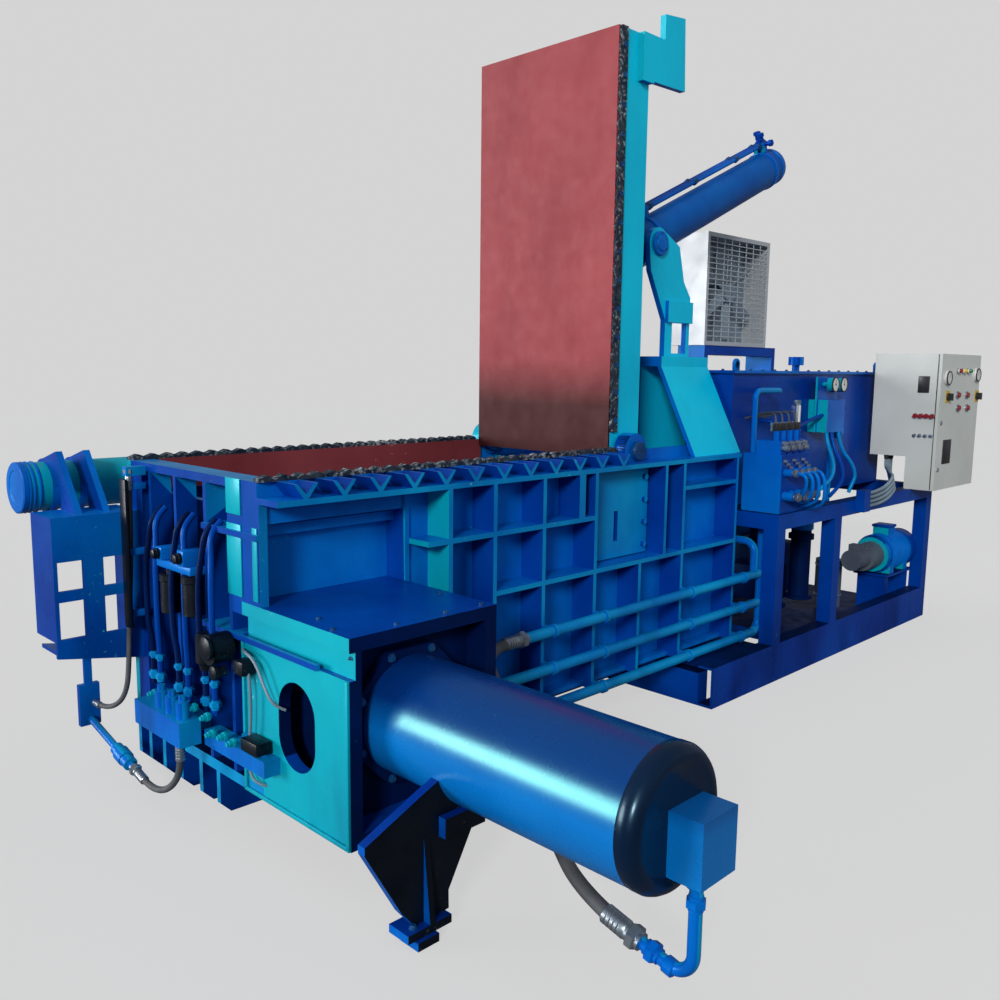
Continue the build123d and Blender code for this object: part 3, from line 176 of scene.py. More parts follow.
def mixColour(tree, amount, first, second):
    node = newNode(tree, "ShaderNodeMix", data_type="RGBA")
    tree.links.new(amount, node.inputs["Factor"])
    tree.links.new(first, node.inputs[6])
    tree.links.new(second, node.inputs[7])
    return node.outputs[2]


def noiseOf(tree, coords, scale, detail, stretch=None):
    if stretch is not None:
        mapping = newNode(tree, "ShaderNodeMapping")
        mapping.inputs["Scale"].default_value = stretch
        tree.links.new(coords, mapping.inputs["Vector"])
        coords = mapping.outputs["Vector"]
    noise = newNode(tree, "ShaderNodeTexNoise")
    noise.inputs["Detail"].default_value = detail
    if isinstance(scale, (int, float)):
        noise.inputs["Scale"].default_value = scale
    else:
        tree.links.new(scale, noise.inputs["Scale"])
    tree.links.new(coords, noise.inputs["Vector"])
    return noise.outputs["Fac"]


def ramp(tree, value, low, high, to=(0.0, 1.0)):
    node = newNode(tree, "ShaderNodeMapRange", clamp=True)
    node.inputs["To Min"].default_value = to[0]
    node.inputs["To Max"].default_value = to[1]
    tree.links.new(value, node.inputs["Value"])
    for socket, edge in (("From Min", low), ("From Max", high)):
        if isinstance(edge, (int, float)):
            node.inputs[socket].default_value = edge
        else:
            tree.links.new(edge, node.inputs[socket])
    return node.outputs["Result"]


# sizes and edges of the wear that every finish shares
wear = {"cloudEdges": (0.35, 0.66), "dustHeight": 0.7, "dustLeft": 0.25, "patchSize": 3.5,
        "patchStretch": (1.0, 1.0, 0.6), "patchEdges": (0.48, 0.72), "streakSize": 9.0,
        "streakStretch": (1.0, 1.0, 0.12), "streakEdges": (0.54, 0.75), "streakShare": 0.6, "chipStart": 0.8,
        "chipSpread": 0.2, "chipEnd": 0.82, "patchChips": 0.12, "sheenSize": 14.0, "mattShare": 0.35,
        "grainHeight": 0.5, "bumpStrength": 0.6, "coatRough": 0.12}
wornColours = ("Base", "Second", "Grime", "Chip")
wornAmounts = ("Cloud Size", "Fine Size", "Grime Amount", "Chip Amount", "Rough Low", "Rough High",
               "Fade Foot", "Fade Top", "Fade Amount")


def makeWornGroup():
    # cloudy base, dust that gathers near the floor, streaks, a darker band by height (painted shade on the
    # big barrel's top) and small chips
    group = bpy.data.node_groups.new("wornSurface", "ShaderNodeTree")
    sockets = [("INPUT", "Vector", "NodeSocketVector"), ("OUTPUT", "Color", "NodeSocketColor"),
               ("OUTPUT", "Roughness", "NodeSocketFloat"), ("OUTPUT", "Height", "NodeSocketFloat")]
    sockets += [("INPUT", name, "NodeSocketColor") for name in wornColours]
    sockets += [("INPUT", name, "NodeSocketFloat") for name in wornAmounts]
    for side, name, kind in sockets:
        group.interface.new_socket(name=name, in_out=side, socket_type=kind)
    start = newNode(group, "NodeGroupInput")
    end = newNode(group, "NodeGroupOutput")
    coords = start.outputs["Vector"]
    cloud = ramp(group, noiseOf(group, coords, start.outputs["Cloud Size"], 5), *wear["cloudEdges"])
    body = mixColour(group, cloud, start.outputs["Base"], start.outputs["Second"])
    parts = newNode(group, "ShaderNodeSeparateXYZ")
    group.links.new(coords, parts.inputs["Vector"])
    low = ramp(group, parts.outputs["Z"], 0.0, wear["dustHeight"], (1.0, wear["dustLeft"]))
    patches = noiseOf(group, coords, wear["patchSize"], 8, wear["patchStretch"])
    patches = ramp(group, patches, *wear["patchEdges"])
    streaks = noiseOf(group, coords, wear["streakSize"], 5, wear["streakStretch"])
    streaks = ramp(group, streaks, *wear["streakEdges"])
    streaks = mathNode(group, "MULTIPLY", streaks, wear["streakShare"])
    dirt_and_shade = mathNode(group, "ADD", patches, streaks, clamp=True)
    dirt_and_shade = mathNode(group, "MULTIPLY", dirt_and_shade, low)
    dirt_and_shade = mathNode(group, "MULTIPLY", dirt_and_shade, start.outputs["Grime Amount"], clamp=True)
    fade = ramp(group, parts.outputs["Z"], start.outputs["Fade Foot"], start.outputs["Fade Top"], (1.0, 0.0))
    fade = mathNode(group, "MULTIPLY", fade, start.outputs["Fade Amount"])
    # the band by height joins the grime mask; on the big barrel it is painted shade on the top
    dirt_and_shade = mathNode(group, "MAXIMUM", dirt_and_shade, fade)
    body = mixColour(group, dirt_and_shade, body, start.outputs["Grime"])
    grain = noiseOf(group, coords, start.outputs["Fine Size"], 6)
    edge = mathNode(group, "MULTIPLY", start.outputs["Chip Amount"], wear["chipSpread"])
    edge = mathNode(group, "SUBTRACT", wear["chipStart"], edge)
    chips = mathNode(group, "MULTIPLY", patches, wear["patchChips"])
    chips = ramp(group, mathNode(group, "ADD", grain, chips), edge, wear["chipEnd"])
    body = mixColour(group, chips, body, start.outputs["Chip"])
    spread = mathNode(group, "SUBTRACT", start.outputs["Rough High"], start.outputs["Rough Low"])
    rough = mathNode(group, "MULTIPLY", noiseOf(group, coords, wear["sheenSize"], 4), spread)
    rough = mathNode(group, "ADD", rough, start.outputs["Rough Low"])
    matt = mathNode(group, "SUBTRACT", dirt_and_shade, fade, clamp=True)
    matt = mathNode(group, "MULTIPLY", matt, wear["mattShare"])
    rough = mathNode(group, "ADD", rough, matt, clamp=True)
    height = mathNode(group, "SUBTRACT", mathNode(group, "MULTIPLY", grain, wear["grainHeight"]), chips)
    group.links.new(body, end.inputs["Color"])
    group.links.new(rough, end.inputs["Roughness"])
    group.links.new(height, end.inputs["Height"])
    return group


wornGroup = makeWornGroup()

# what most finishes share; each finish gives its four colours, of base, cloud, grime and chips, and what it
# changes: sizes of clouds and grain, amounts of grime and chips, and a darker band between two heights in
# the grime colour, on the big barrel painted shade on its top
usualFinish = {"cloud": 3, "grain": 70, "grime": 0.3, "chips": 0.2, "metal": 0.0, "coat": 0.0,
               "bump": 0.0008, "shine": 0.5, "tint": (1.0, 1.0, 1.0), "rough": (0.35, 0.46),
               "fade": (0.0, 1.0, 0.0)}
finishes = {
    # cyan, pale, edge, top and navy blues: lit and shaded copies of one blue paint, painted light toward the
    # key lamp and painted shade on tops, undersides and recesses
    "blue_painted_full_light": {
        "colours": ((0.003, 0.6, 0.85), (0.002, 0.48, 0.74), (0.001, 0.08, 0.2), (0.15, 0.55, 0.66)),
        "cloud": 1.4, "grime": 0.5, "rough": (0.26, 0.46), "coat": 0.03, "tint": (0.1, 0.8, 1.0)},
    "blue_painted_light": {
        "colours": ((0.002, 0.4, 0.5), (0.001, 0.3, 0.43), (0.001, 0.06, 0.16), (0.15, 0.55, 0.66)),
        "cloud": 1.4, "grime": 0.5, "rough": (0.26, 0.46), "coat": 0.04, "tint": (0.1, 0.8, 1.0)},
    "blue_painted_half_light": {
        "colours": ((0.003, 0.3, 0.62), (0.001, 0.16, 0.5), (0.0005, 0.02, 0.1), (0.15, 0.5, 0.62)),
        "cloud": 2.4, "grime": 0.6, "chips": 0.3, "rough": (0.22, 0.42), "coat": 0.03,
        "tint": (0.06, 0.7, 1.0)},
    "blue_gloss": {
        "colours": ((0.001, 0.18, 0.66), (0.0005, 0.08, 0.46), (0.0003, 0.008, 0.06), (0.03, 0.34, 0.5)),
        "cloud": 1.8, "grime": 0.8, "chips": 0.25, "rough": (0.2, 0.42), "coat": 0.02,
        "tint": (0.04, 0.5, 1.0)},
    "blue_painted_shade": {
        "colours": ((0.0006, 0.06, 0.38), (0.0004, 0.026, 0.25), (0.0002, 0.005, 0.045), (0.02, 0.2, 0.32)),
        "cloud": 1.8, "grain": 60, "grime": 0.6, "rough": (0.2, 0.42), "coat": 0.02, "shine": 0.4,
        "tint": (0.03, 0.45, 1.0)},
    "blue_cylinder": {
        "colours": ((0.001, 0.11, 0.42), (0.0006, 0.06, 0.32), (0.0004, 0.012, 0.08), (0.02, 0.24, 0.4)),
        "cloud": 2.2, "grain": 90, "chips": 0.1, "rough": (0.36, 0.46), "bump": 0.0004, "shine": 0.6,
        "tint": (0.1, 0.7, 1.0)},
    # its band by height darkens the top of the barrel: painted shade
    "big_barrel": {
        "colours": ((0.001, 0.18, 0.58), (0.001, 0.14, 0.5), (0.0002, 0.014, 0.14), (0.02, 0.24, 0.4)),
        "cloud": 2.2, "grain": 90, "grime": 0.2, "chips": 0.06, "rough": (0.24, 0.3), "bump": 0.0003,
        "shine": 1.0, "tint": (0.3, 1.0, 0.8), "fade": (0.62, 0.52, 0.9)},
    "cast_black": {
        "colours": ((0.003, 0.006, 0.012), (0.001, 0.003, 0.008), (0.006, 0.012, 0.02), (0.05, 0.08, 0.1)),
        "cloud": 9, "grain": 90, "grime": 0.4, "chips": 0.5, "rough": (0.25, 0.5), "coat": 0.04,
        "bump": 0.001, "shine": 0.25},
    "liner_red": {
        "colours": ((0.29, 0.05, 0.06), (0.23, 0.036, 0.044), (0.01, 0.001, 0.001), (0.2, 0.06, 0.06)),
        "cloud": 1.3, "grain": 46, "grime": 0.5, "chips": 0.1, "rough": (0.42, 0.65), "bump": 0.0012,
        "shine": 0.35, "tint": (1.0, 0.5, 0.5), "fade": (1.43, 1.66, 0.95)},
    "core_grey": {
        "colours": ((0.24, 0.32, 0.38), (0.18, 0.24, 0.3), (0.03, 0.04, 0.05), (0.3, 0.32, 0.34)),
        "grain": 110, "rough": (0.4, 0.6), "bump": 0.0004},
    "grey_line": {
        "colours": ((0.2, 0.28, 0.34), (0.14, 0.2, 0.26), (0.03, 0.05, 0.07), (0.3, 0.36, 0.4)), "cloud": 6,
        "grain": 110, "grime": 0.4, "rough": (0.35, 0.5), "bump": 0.0004},
    "cap_navy": {
        "colours": ((0.002, 0.012, 0.04), (0.001, 0.007, 0.028), (0.002, 0.005, 0.012), (0.02, 0.06, 0.1)),
        "grain": 60, "grime": 0.4, "chips": 0.3, "rough": (0.2, 0.36), "coat": 0.12, "bump": 0.0005,
        "shine": 0.4, "tint": (0.4, 0.8, 1.0)},
    "plated_steel": {
        "colours": ((0.45, 0.5, 0.54), (0.34, 0.4, 0.46), (0.03, 0.04, 0.06), (0.16, 0.2, 0.24)),
        "cloud": 14, "grain": 130, "grime": 0.4, "chips": 0.3, "rough": (0.22, 0.4), "metal": 0.85,
        "bump": 0.0003},
    "bolt_blue": {
        "colours": ((0.002, 0.08, 0.26), (0.002, 0.04, 0.14), (0.001, 0.006, 0.02), (0.2, 0.3, 0.36)),
        "cloud": 18, "grain": 120, "grime": 0.6, "chips": 0.8, "rough": (0.26, 0.46), "metal": 0.2,
        "coat": 0.1, "bump": 0.0004},
    "legend_yellow": {
        "colours": ((0.62, 0.42, 0.03), (0.55, 0.37, 0.03), (0.2, 0.14, 0.04), (0.5, 0.4, 0.1)),
        "cloud": 20, "grain": 160, "rough": (0.3, 0.45), "coat": 0.1, "bump": 0.0002},
    "lamp_green": {
        "colours": ((0.02, 0.2, 0.06), (0.015, 0.15, 0.05), (0.02, 0.06, 0.03), (0.1, 0.3, 0.14)),
        "cloud": 40, "grain": 200, "grime": 0.1, "chips": 0.05, "rough": (0.08, 0.16), "coat": 0.8,
        "bump": 0.0001},
    # deep painted shade for recesses, insides and parts under the machine
    "navy_painted_deep_shade": {
        "colours": ((0.0006, 0.012, 0.09), (0.0004, 0.005, 0.04), (0.001, 0.003, 0.012), (0.02, 0.06, 0.12)),
        "cloud": 2.6, "grain": 60, "grime": 0.6, "chips": 0.3, "rough": (0.35, 0.6), "bump": 0.001,
        "shine": 0.2, "tint": (0.1, 0.4, 1.0)},
    "red_oxide": {
        "colours": ((0.26, 0.05, 0.058), (0.17, 0.025, 0.03), (0.03, 0.003, 0.003), (0.4, 0.14, 0.13)),
        "cloud": 1.3, "grain": 46, "grime": 0.6, "chips": 0.12, "rough": (0.42, 0.65), "bump": 0.0012,
        "shine": 0.3},
    "blade_steel": {
        "colours": ((0.004, 0.012, 0.03), (0.03, 0.045, 0.06), (0.003, 0.003, 0.005), (0.42, 0.46, 0.48)),
        "cloud": 22, "grain": 60, "grime": 0.7, "chips": 1.2, "rough": (0.35, 0.65), "bump": 0.0015,
        "shine": 0.3},
    "rod_chrome": {
        "colours": ((0.62, 0.63, 0.64), (0.5, 0.51, 0.53), (0.05, 0.05, 0.05), (0.3, 0.3, 0.3)), "cloud": 6,
        "grain": 120, "chips": 0.1, "rough": (0.08, 0.2), "metal": 1.0, "bump": 0.0002},
    "cast_grey": {
        "colours": ((0.1, 0.13, 0.17), (0.07, 0.09, 0.13), (0.02, 0.02, 0.025), (0.3, 0.3, 0.3)),
        "cloud": 7, "grain": 90, "grime": 0.5, "chips": 0.5, "rough": (0.35, 0.6), "metal": 0.2,
        "bump": 0.001},
    "cream": {
        "colours": ((0.61, 0.64, 0.61), (0.55, 0.58, 0.56), (0.2, 0.22, 0.22), (0.4, 0.39, 0.36)),
        "cloud": 2.4, "grain": 110, "grime": 0.22, "chips": 0.15, "rough": (0.32, 0.46), "coat": 0.1,
        "bump": 0.0005},
    "cooler_grey": {
        "colours": ((0.47, 0.5, 0.52), (0.4, 0.43, 0.46), (0.2, 0.2, 0.2), (0.35, 0.36, 0.37)),
        "grain": 110, "chips": 0.3, "rough": (0.3, 0.5), "metal": 0.1, "coat": 0.05, "bump": 0.0005},
    "dark_wire": {
        "colours": ((0.02, 0.024, 0.03), (0.03, 0.035, 0.04), (0.05, 0.045, 0.04), (0.12, 0.12, 0.12)),
        "cloud": 10, "grain": 120, "grime": 0.5, "chips": 0.4, "rough": (0.35, 0.55), "metal": 0.5,
        "bump": 0.0004},
    "gauge_white": {
        "colours": ((0.72, 0.72, 0.7), (0.66, 0.66, 0.63), (0.3, 0.29, 0.26), (0.4, 0.4, 0.4)), "cloud": 20,
        "grain": 160, "chips": 0.1, "rough": (0.2, 0.35), "coat": 0.2, "bump": 0.0002},
    "hose_rubber": {
        "colours": ((0.05, 0.056, 0.066), (0.09, 0.1, 0.115), (0.09, 0.085, 0.08), (0.12, 0.12, 0.12)),
        "cloud": 12, "grain": 200, "grime": 0.4, "chips": 0.3, "rough": (0.5, 0.75), "bump": 0.001},
    "button_red": {
        "colours": ((0.3, 0.015, 0.02), (0.24, 0.012, 0.016), (0.08, 0.01, 0.012), (0.5, 0.1, 0.1)),
        "cloud": 40, "grain": 300, "grime": 0.2, "chips": 0.1, "rough": (0.22, 0.35), "coat": 0.2,
        "bump": 0.0002},
    "switch_black": {
        "colours": ((0.015, 0.015, 0.017), (0.024, 0.024, 0.026), (0.08, 0.08, 0.08), (0.1, 0.1, 0.1)),
        "cloud": 40, "grain": 300, "chips": 0.1, "rough": (0.3, 0.45), "coat": 0.1, "bump": 0.0002},
}


def makeFinish(name, changes):
    values = {**usualFinish, **changes}
    skin = bpy.data.materials.new(name)
    skin.use_nodes = True
    tree = skin.node_tree
    shader = tree.nodes["Principled BSDF"]
    coords = newNode(tree, "ShaderNodeTexCoord")
    worn = newNode(tree, "ShaderNodeGroup", node_tree=wornGroup)
    tree.links.new(coords.outputs["Object"], worn.inputs["Vector"])
    for key, colour in zip(wornColours, values["colours"]):
        worn.inputs[key].default_value = (*colour, 1)
    amounts = (values["cloud"], values["grain"], values["grime"], values["chips"], *values["rough"],
               *values["fade"])
    for key, amount in zip(wornAmounts, amounts):
        worn.inputs[key].default_value = amount
    bump = newNode(tree, "ShaderNodeBump")
    bump.inputs["Strength"].default_value = wear["bumpStrength"]
    bump.inputs["Distance"].default_value = values["bump"]
    tree.links.new(worn.outputs["Color"], shader.inputs["Base Color"])
    tree.links.new(worn.outputs["Roughness"], shader.inputs["Roughness"])
    tree.links.new(worn.outputs["Height"], bump.inputs["Height"])
    tree.links.new(bump.outputs["Normal"], shader.inputs["Normal"])
    shader.inputs["Metallic"].default_value = values["metal"]
    shader.inputs["Coat Weight"].default_value = values["coat"]
    shader.inputs["Coat Roughness"].default_value = wear["coatRough"]
    shader.inputs["Specular IOR Level"].default_value = values["shine"]
    shader.inputs["Specular Tint"].default_value = (*values["tint"], 1)
    return skin


skins = {name: makeFinish(name, changes) for name, changes in finishes.items()}
# painted light and shade by facing: lit blue toward the key lamp, shaded blue on tops and recesses
anyWay = ("side", "front", "top", "other")
usualPaint = ("blue_painted_light", "blue_gloss", "blue_painted_shade", "blue_gloss")
paintRules = {
    "lid": ("blue_painted_light", "blue_painted_full_light", "blue_gloss", "blue_painted_half_light"),
    "lid_towers": ("blue_gloss", "blue_painted_full_light", "blue_painted_full_light", "blue_painted_full_light"),
    "front_wall": ("blue_painted_shade", "blue_gloss", "blue_gloss", "blue_painted_shade"),
    "end_frame": ("blue_painted_shade", "blue_painted_half_light", "blue_painted_half_light", "blue_painted_shade"),
    "gate_frame": ("blue_painted_shade", "blue_gloss", "blue_gloss", "blue_painted_half_light"),
    "gate": ("blue_gloss", "blue_painted_shade", "blue_painted_shade", "blue_gloss"),
    "oil_tank": ("blue_painted_shade",) * 4,
    "tank_cover": ("blue_painted_shade", "blue_gloss", "blue_painted_shade", "blue_gloss"),
    "skid_frame": ("blue_painted_shade", "blue_painted_shade", "navy_painted_deep_shade", "blue_painted_shade"),
    "drip_tray": ("navy_painted_deep_shade",) * 4,
    "motor_stand": ("blue_painted_shade", "blue_painted_shade", "navy_painted_deep_shade", "navy_painted_deep_shade"),
    "valve_block": ("blue_gloss", "blue_painted_shade", "blue_gloss", "blue_gloss"),
    # the foot's front faces take black as painted shade under the big barrel
    "front_foot": ("blue_gloss", "cast_black", "blue_painted_shade", "navy_painted_deep_shade"),
    "ram_housing": ("blue_painted_light", "navy_painted_deep_shade", "blue_painted_shade", "blue_painted_shade"),
    "chamber_floor": ("blue_painted_half_light", "blue_painted_shade", "navy_painted_deep_shade", "blue_painted_shade"),
    "hydraulic_pipes": ("blue_gloss", "blue_painted_half_light", "blue_painted_half_light", "blue_painted_half_light"),
    "slot_plate": ("blue_painted_shade", "blue_painted_half_light", "blue_painted_half_light", "blue_gloss"),
    "cooler_case": ("cooler_grey",) * 4,
}
# parts of a piece with their own painted light and shade: box in millimetres, facings, paint
paintZones = {
    # front wall: painted highlight on gusset fronts, rib edges and the first rib's side, deep painted shade
    # inside the gussets
    "front_wall": [((-30, -125, 1240), (2800, -108, 1330), ("front",), "blue_painted_light"),
                   ((-30, -125, 1240), (2800, 0, 1330), ("side", "other"), "navy_painted_deep_shade"),
                   ((-30, -125, 190), (2800, -115, 1240), ("front",), "blue_painted_half_light"),
                   ((590, -125, 190), (745, 5, 1180), ("side",), "blue_painted_light")],
    # end frame and housing recesses, the pipes' end block, the cooler shelf and the big flange: painted shade
    "end_frame": [((20, 0, 190), (130, 1000, 1120), ("side", "other"), "navy_painted_deep_shade"),
                  ((20, 0, 190), (130, 1000, 1120), ("front",), "blue_painted_shade")],
    "ram_housing": [((46, -500, 150), (610, 120, 780), ("side", "other"), "navy_painted_deep_shade")],
    "hydraulic_pipes": [((200, -1750, 380), (400, -1300, 640), anyWay, "blue_painted_shade"),
                        ((-115, 120, 600), (5, 232, 712), anyWay, "cast_black")],
    "cooler_case": [((3400, 500, 1600), (4300, 800, 1756), anyWay, "blue_painted_shade")],
    "final_cylinder": [((0, -445, 200), (600, -395, 800), anyWay, "navy_painted_deep_shade")],
}
# the rams inside the housing take the deep painted shade, the gate cylinder the lit blue as painted light
plainPaint = {"press_ram": "navy_painted_deep_shade", "final_ram": "navy_painted_deep_shade", "lid_cylinder": "blue_cylinder",
              "press_cylinder": "blue_cylinder", "gate_cylinder": "blue_painted_light", "lid_liner": "liner_red",
              "cooler_core": "core_grey", "cooler_fan": "core_grey", "control_conduits": "grey_line"}


def facing(normal):
    if normal.x < -0.5:
        return "side"
    if abs(normal.z) > 0.7:
        return "top"
    if normal.y < -0.5:
        return "front"
    return "other"


def paintFaces(node, paints, zones):
    # each way that a plate faces takes its own copy of the blue: painted light toward the key lamp, painted
    # shade elsewhere
    mesh = nodes[node].data
    names = list(dict.fromkeys([*paints, *(zone[3] for zone in zones)]))
    for name in names:
        mesh.materials.append(skins[name])
    for face in mesh.polygons:
        way = facing(face.normal)
        paint = paints[anyWay.index(way)]
        for low, high, zoneWay, zonePaint in zones:
            near, far = place(*low), place(*high)
            if way in zoneWay and all(a <= c <= b for a, b, c in zip(near, far, face.center)):
                paint = zonePaint
        face.material_index = names.index(paint)


for entry in frame["record"]["subparts"]:
    node = entry["node"]
    slotName = entry["material_slot"]
    nodes[node].data.materials.clear()
    if node in plainPaint:
        nodes[node].data.materials.append(skins[plainPaint[node]])
    elif node == "final_cylinder":
        paintFaces(node, ("big_barrel",) * 4, paintZones[node])
    elif slotName == "blue" or node in paintRules:
        paintFaces(node, paintRules.get(node, usualPaint), paintZones.get(node, []))
    else:
        nodes[node].data.materials.append(skins[slotName])
print("finishes are on the CAD pieces")


# Hoses: routes from fitting to fitting in millimetres, thickness and length in metres
hoses = {
    "ram_hose": {"thick": 0.042, "length": 1.485, "stiffness": "stiff", "lay": "hanging",
                 "route": [(290, -1300, 154), (290, -1140, 194), (375, -960, 262), (490, -790, 330),
                           (595, -610, 405), (680, -440, 473), (763, -296, 517), (819, -240, 531),
                           (887, -200, 538), (960, -180, 540), (1030, -180, 540)]},
    "drain_hose": {"thick": 0.02, "length": 1.086, "stiffness": "medium", "lay": "hanging",
                   "route": [(-60, 815, 1185), (-60, 815, 1040), (-60, 829, 860), (-62, 850, 690),
                             (-66, 860, 540), (-72, 862, 430), (-80, 864, 352), (-94, 889, 292),
                             (-113, 940, 257), (-132, 1000, 250), (-132, 1060, 250)]},
    "return_hose": {"thick": 0.024, "length": 0.446, "stiffness": "medium", "lay": "hanging",
                    "route": [(-150, 640, 94), (-150, 565, 77.5), (-149, 495, 76), (-144, 432, 92),
                              (-136, 382, 126), (-128, 348, 176), (-126, 338, 232), (-126, 338, 290)]},
}


def smoothTube(name, points, radius, steps, roundness, skin):
    # a round tube along one smooth line; radius in metres
    bpy.ops.object.select_all(action="DESELECT")
    bpy.ops.curve.primitive_nurbs_path_add(location=(0, 0, 0))
    tube = bpy.context.active_object
    tube.name = name
    tube.data.splines.clear()
    spline = tube.data.splines.new("NURBS")
    spline.points.add(len(points) - 1)
    for point, at in zip(spline.points, points):
        point.co = (*at, 1)
    spline.order_u = 3
    spline.use_endpoint_u = True
    spline.resolution_u = steps
    tube.data.bevel_depth = radius
    tube.data.bevel_resolution = roundness
    tube.data.materials.append(skins[skin])
    return tube


def layHose(name, values):
    points = [place(*p) for p in values["route"]]
    hose = smoothTube(name + "_soft", points, values["thick"] / 2, 12, 6, "hose_rubber")
    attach(hose, "frame")
    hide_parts(name)
    return hose


for hoseName, hoseValues in hoses.items():
    layHose(hoseName, hoseValues)
print("hoses are laid")


# Tools for the added pieces; sizes in millimetres
def nothingSelected():
    if bpy.context.mode != "OBJECT":
        bpy.ops.object.mode_set(mode="OBJECT")
    bpy.ops.object.select_all(action="DESELECT")


def bakePlace(piece):
    nothingSelected()
    piece.select_set(True)
    bpy.context.view_layer.objects.active = piece
    bpy.ops.object.transform_apply(location=True, rotation=True, scale=True)


def bevelBox(x, y, z, edge, segments=2):
    nothingSelected()
    middle = place((x[0] + x[1]) / 2, (y[0] + y[1]) / 2, (z[0] + z[1]) / 2)
    bpy.ops.mesh.primitive_cube_add(size=0.001, location=middle)
    piece = bpy.context.active_object
    piece.scale = (x[1] - x[0], y[1] - y[0], z[1] - z[0])
    bakePlace(piece)
    bpy.ops.object.mode_set(mode="EDIT")
    bpy.ops.mesh.select_all(action="SELECT")
    bpy.ops.mesh.bevel(offset=edge / 1000, segments=segments, affect="EDGES")
    bpy.ops.object.mode_set(mode="OBJECT")
    return piece


def turned(at, way, profile, sides=24):
    # a circle drawn out along its axis, with a new radius at each step
    nothingSelected()
    along, radius = profile[0]
    bpy.ops.mesh.primitive_circle_add(vertices=sides, radius=radius / 1000, fill_type="NGON",
                                      location=(0, 0, along / 1000))
    piece = bpy.context.active_object
    bakePlace(piece)
    bpy.ops.object.mode_set(mode="EDIT")
    bpy.ops.mesh.select_all(action="SELECT")
    for step, size in profile[1:]:
        bpy.ops.mesh.extrude_region_move(TRANSFORM_OT_translate={"value": (0, 0, (step - along) / 1000)})
        share = size / radius
        bpy.ops.transform.resize(value=(share, share, 1), center_override=(0, 0, step / 1000))
        along, radius = step, size
    bpy.ops.mesh.select_all(action="SELECT")
    bpy.ops.mesh.normals_make_consistent(inside=False)
    bpy.ops.object.mode_set(mode="OBJECT")
    piece.rotation_euler = Vector(way).to_track_quat("Z", "Y").to_euler()
    piece.location = place(*at)
    bakePlace(piece)
    return piece


def joined(pieces):
    nothingSelected()
    for piece in pieces:
        piece.select_set(True)
    bpy.context.view_layer.objects.active = pieces[0]
    bpy.ops.object.join()
    return pieces[0]


def copied(piece, shifts):
    # the piece itself and a copy at each shift, all one object
    copies = [piece]
    for shift in shifts:
        other = piece.copy()
        other.data = piece.data.copy()
        bpy.context.collection.objects.link(other)
        other.location = Vector(shift) / 1000
        copies.append(other)
    return joined(copies)


def copiedTo(piece, spots):
    # the piece stands at the first spot, and a copy goes to each of the others
    return copied(piece, [[b - a for a, b in zip(spots[0], spot)] for spot in spots[1:]])


def circleSpots(middle, radius, count, first):
    # places on a circle that faces the front, from the first angle in degrees
    spots = []
    for i in range(count):
        angle = math.radians(first + 360 / count * i)
        spots.append((middle[0] + radius * math.cos(angle), middle[1], middle[2] + radius * math.sin(angle)))
    return spots


skinOf = {"blue": "blue_gloss", "rod_chrome": "plated_steel", "blade_steel": "bolt_blue",
          "cast_grey": "cast_black"}


def finished(piece, name, body="frame", slot="blue", skin=None, smooth=32):
    # a list of parts becomes one piece; without a skin of its own it takes the usual one of its slot
    if isinstance(piece, list):
        piece = joined(piece)
    bakePlace(piece)
    piece.name = name
    piece.data.materials.clear()
    piece.data.materials.append(skins[skin or skinOf.get(slot, slot)])
    bpy.ops.object.shade_smooth_by_angle(angle=math.radians(smooth))
    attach(piece, body)
    return piece


def boltHead(at, way, size):
    # a round washer and a six-sided head; heights and radii as shares of the size
    washer = [(0, 1.1), (0.16, 1.1), (0.2, 1.02)]
    head = [(0.18, 0.86), (0.72, 0.86), (0.84, 0.72)]
    return joined([turned(at, way, [(size * along, size * radius) for along, radius in profile], sides)
                   for profile, sides in ((washer, 20), (head, 6))])


def boltGroup(name, spots, way, size, body="frame", slot="blue", skin="bolt_blue"):
    first = boltHead(spots[0], way, size)
    return finished(copiedTo(first, spots), name, body, slot, skin)


def hexUnion(at, way, radius, length):
    # a union nut: collar, hexagon and a chamfer at each end
    collar = turned(at, way, [(0, radius * 0.72), (length, radius * 0.72)], 20)
    edge = radius * 0.84
    nut = turned(at, way, [(length * 0.2, edge), (length * 0.28, radius), (length * 0.72, radius),
                           (length * 0.8, edge)], 6)
    return joined([collar, nut])


def ferrule(at, way, radius, length):
    # a crimped sleeve with four grooves
    rings = [(0, radius * 0.9), (length * 0.06, radius)]
    for i in range(1, 5):
        spot = length * (0.1 + 0.17 * i)
        rings += [(spot - length * 0.03, radius), (spot, radius * 0.9), (spot + length * 0.03, radius)]
    rings += [(length * 0.95, radius), (length, radius * 0.86)]
    return turned(at, way, rings)


def bentTube(name, points, radius, body="frame", skin="blue_gloss"):
    nothingSelected()
    tube = smoothTube(name, [place(*at) for at in points], radius / 1000, 6, 3, skin)
    tube.data.use_fill_caps = True
    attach(tube, body)
    return tube


# Ways out of the machine: to its front and back, its bale end, its power pack, up and down
frontward, backward = (0, -1, 0), (0, 1, 0)
endward, packward = (-1, 0, 0), (1, 0, 0)
upward, downward = (0, 0, 1), (0, 0, -1)


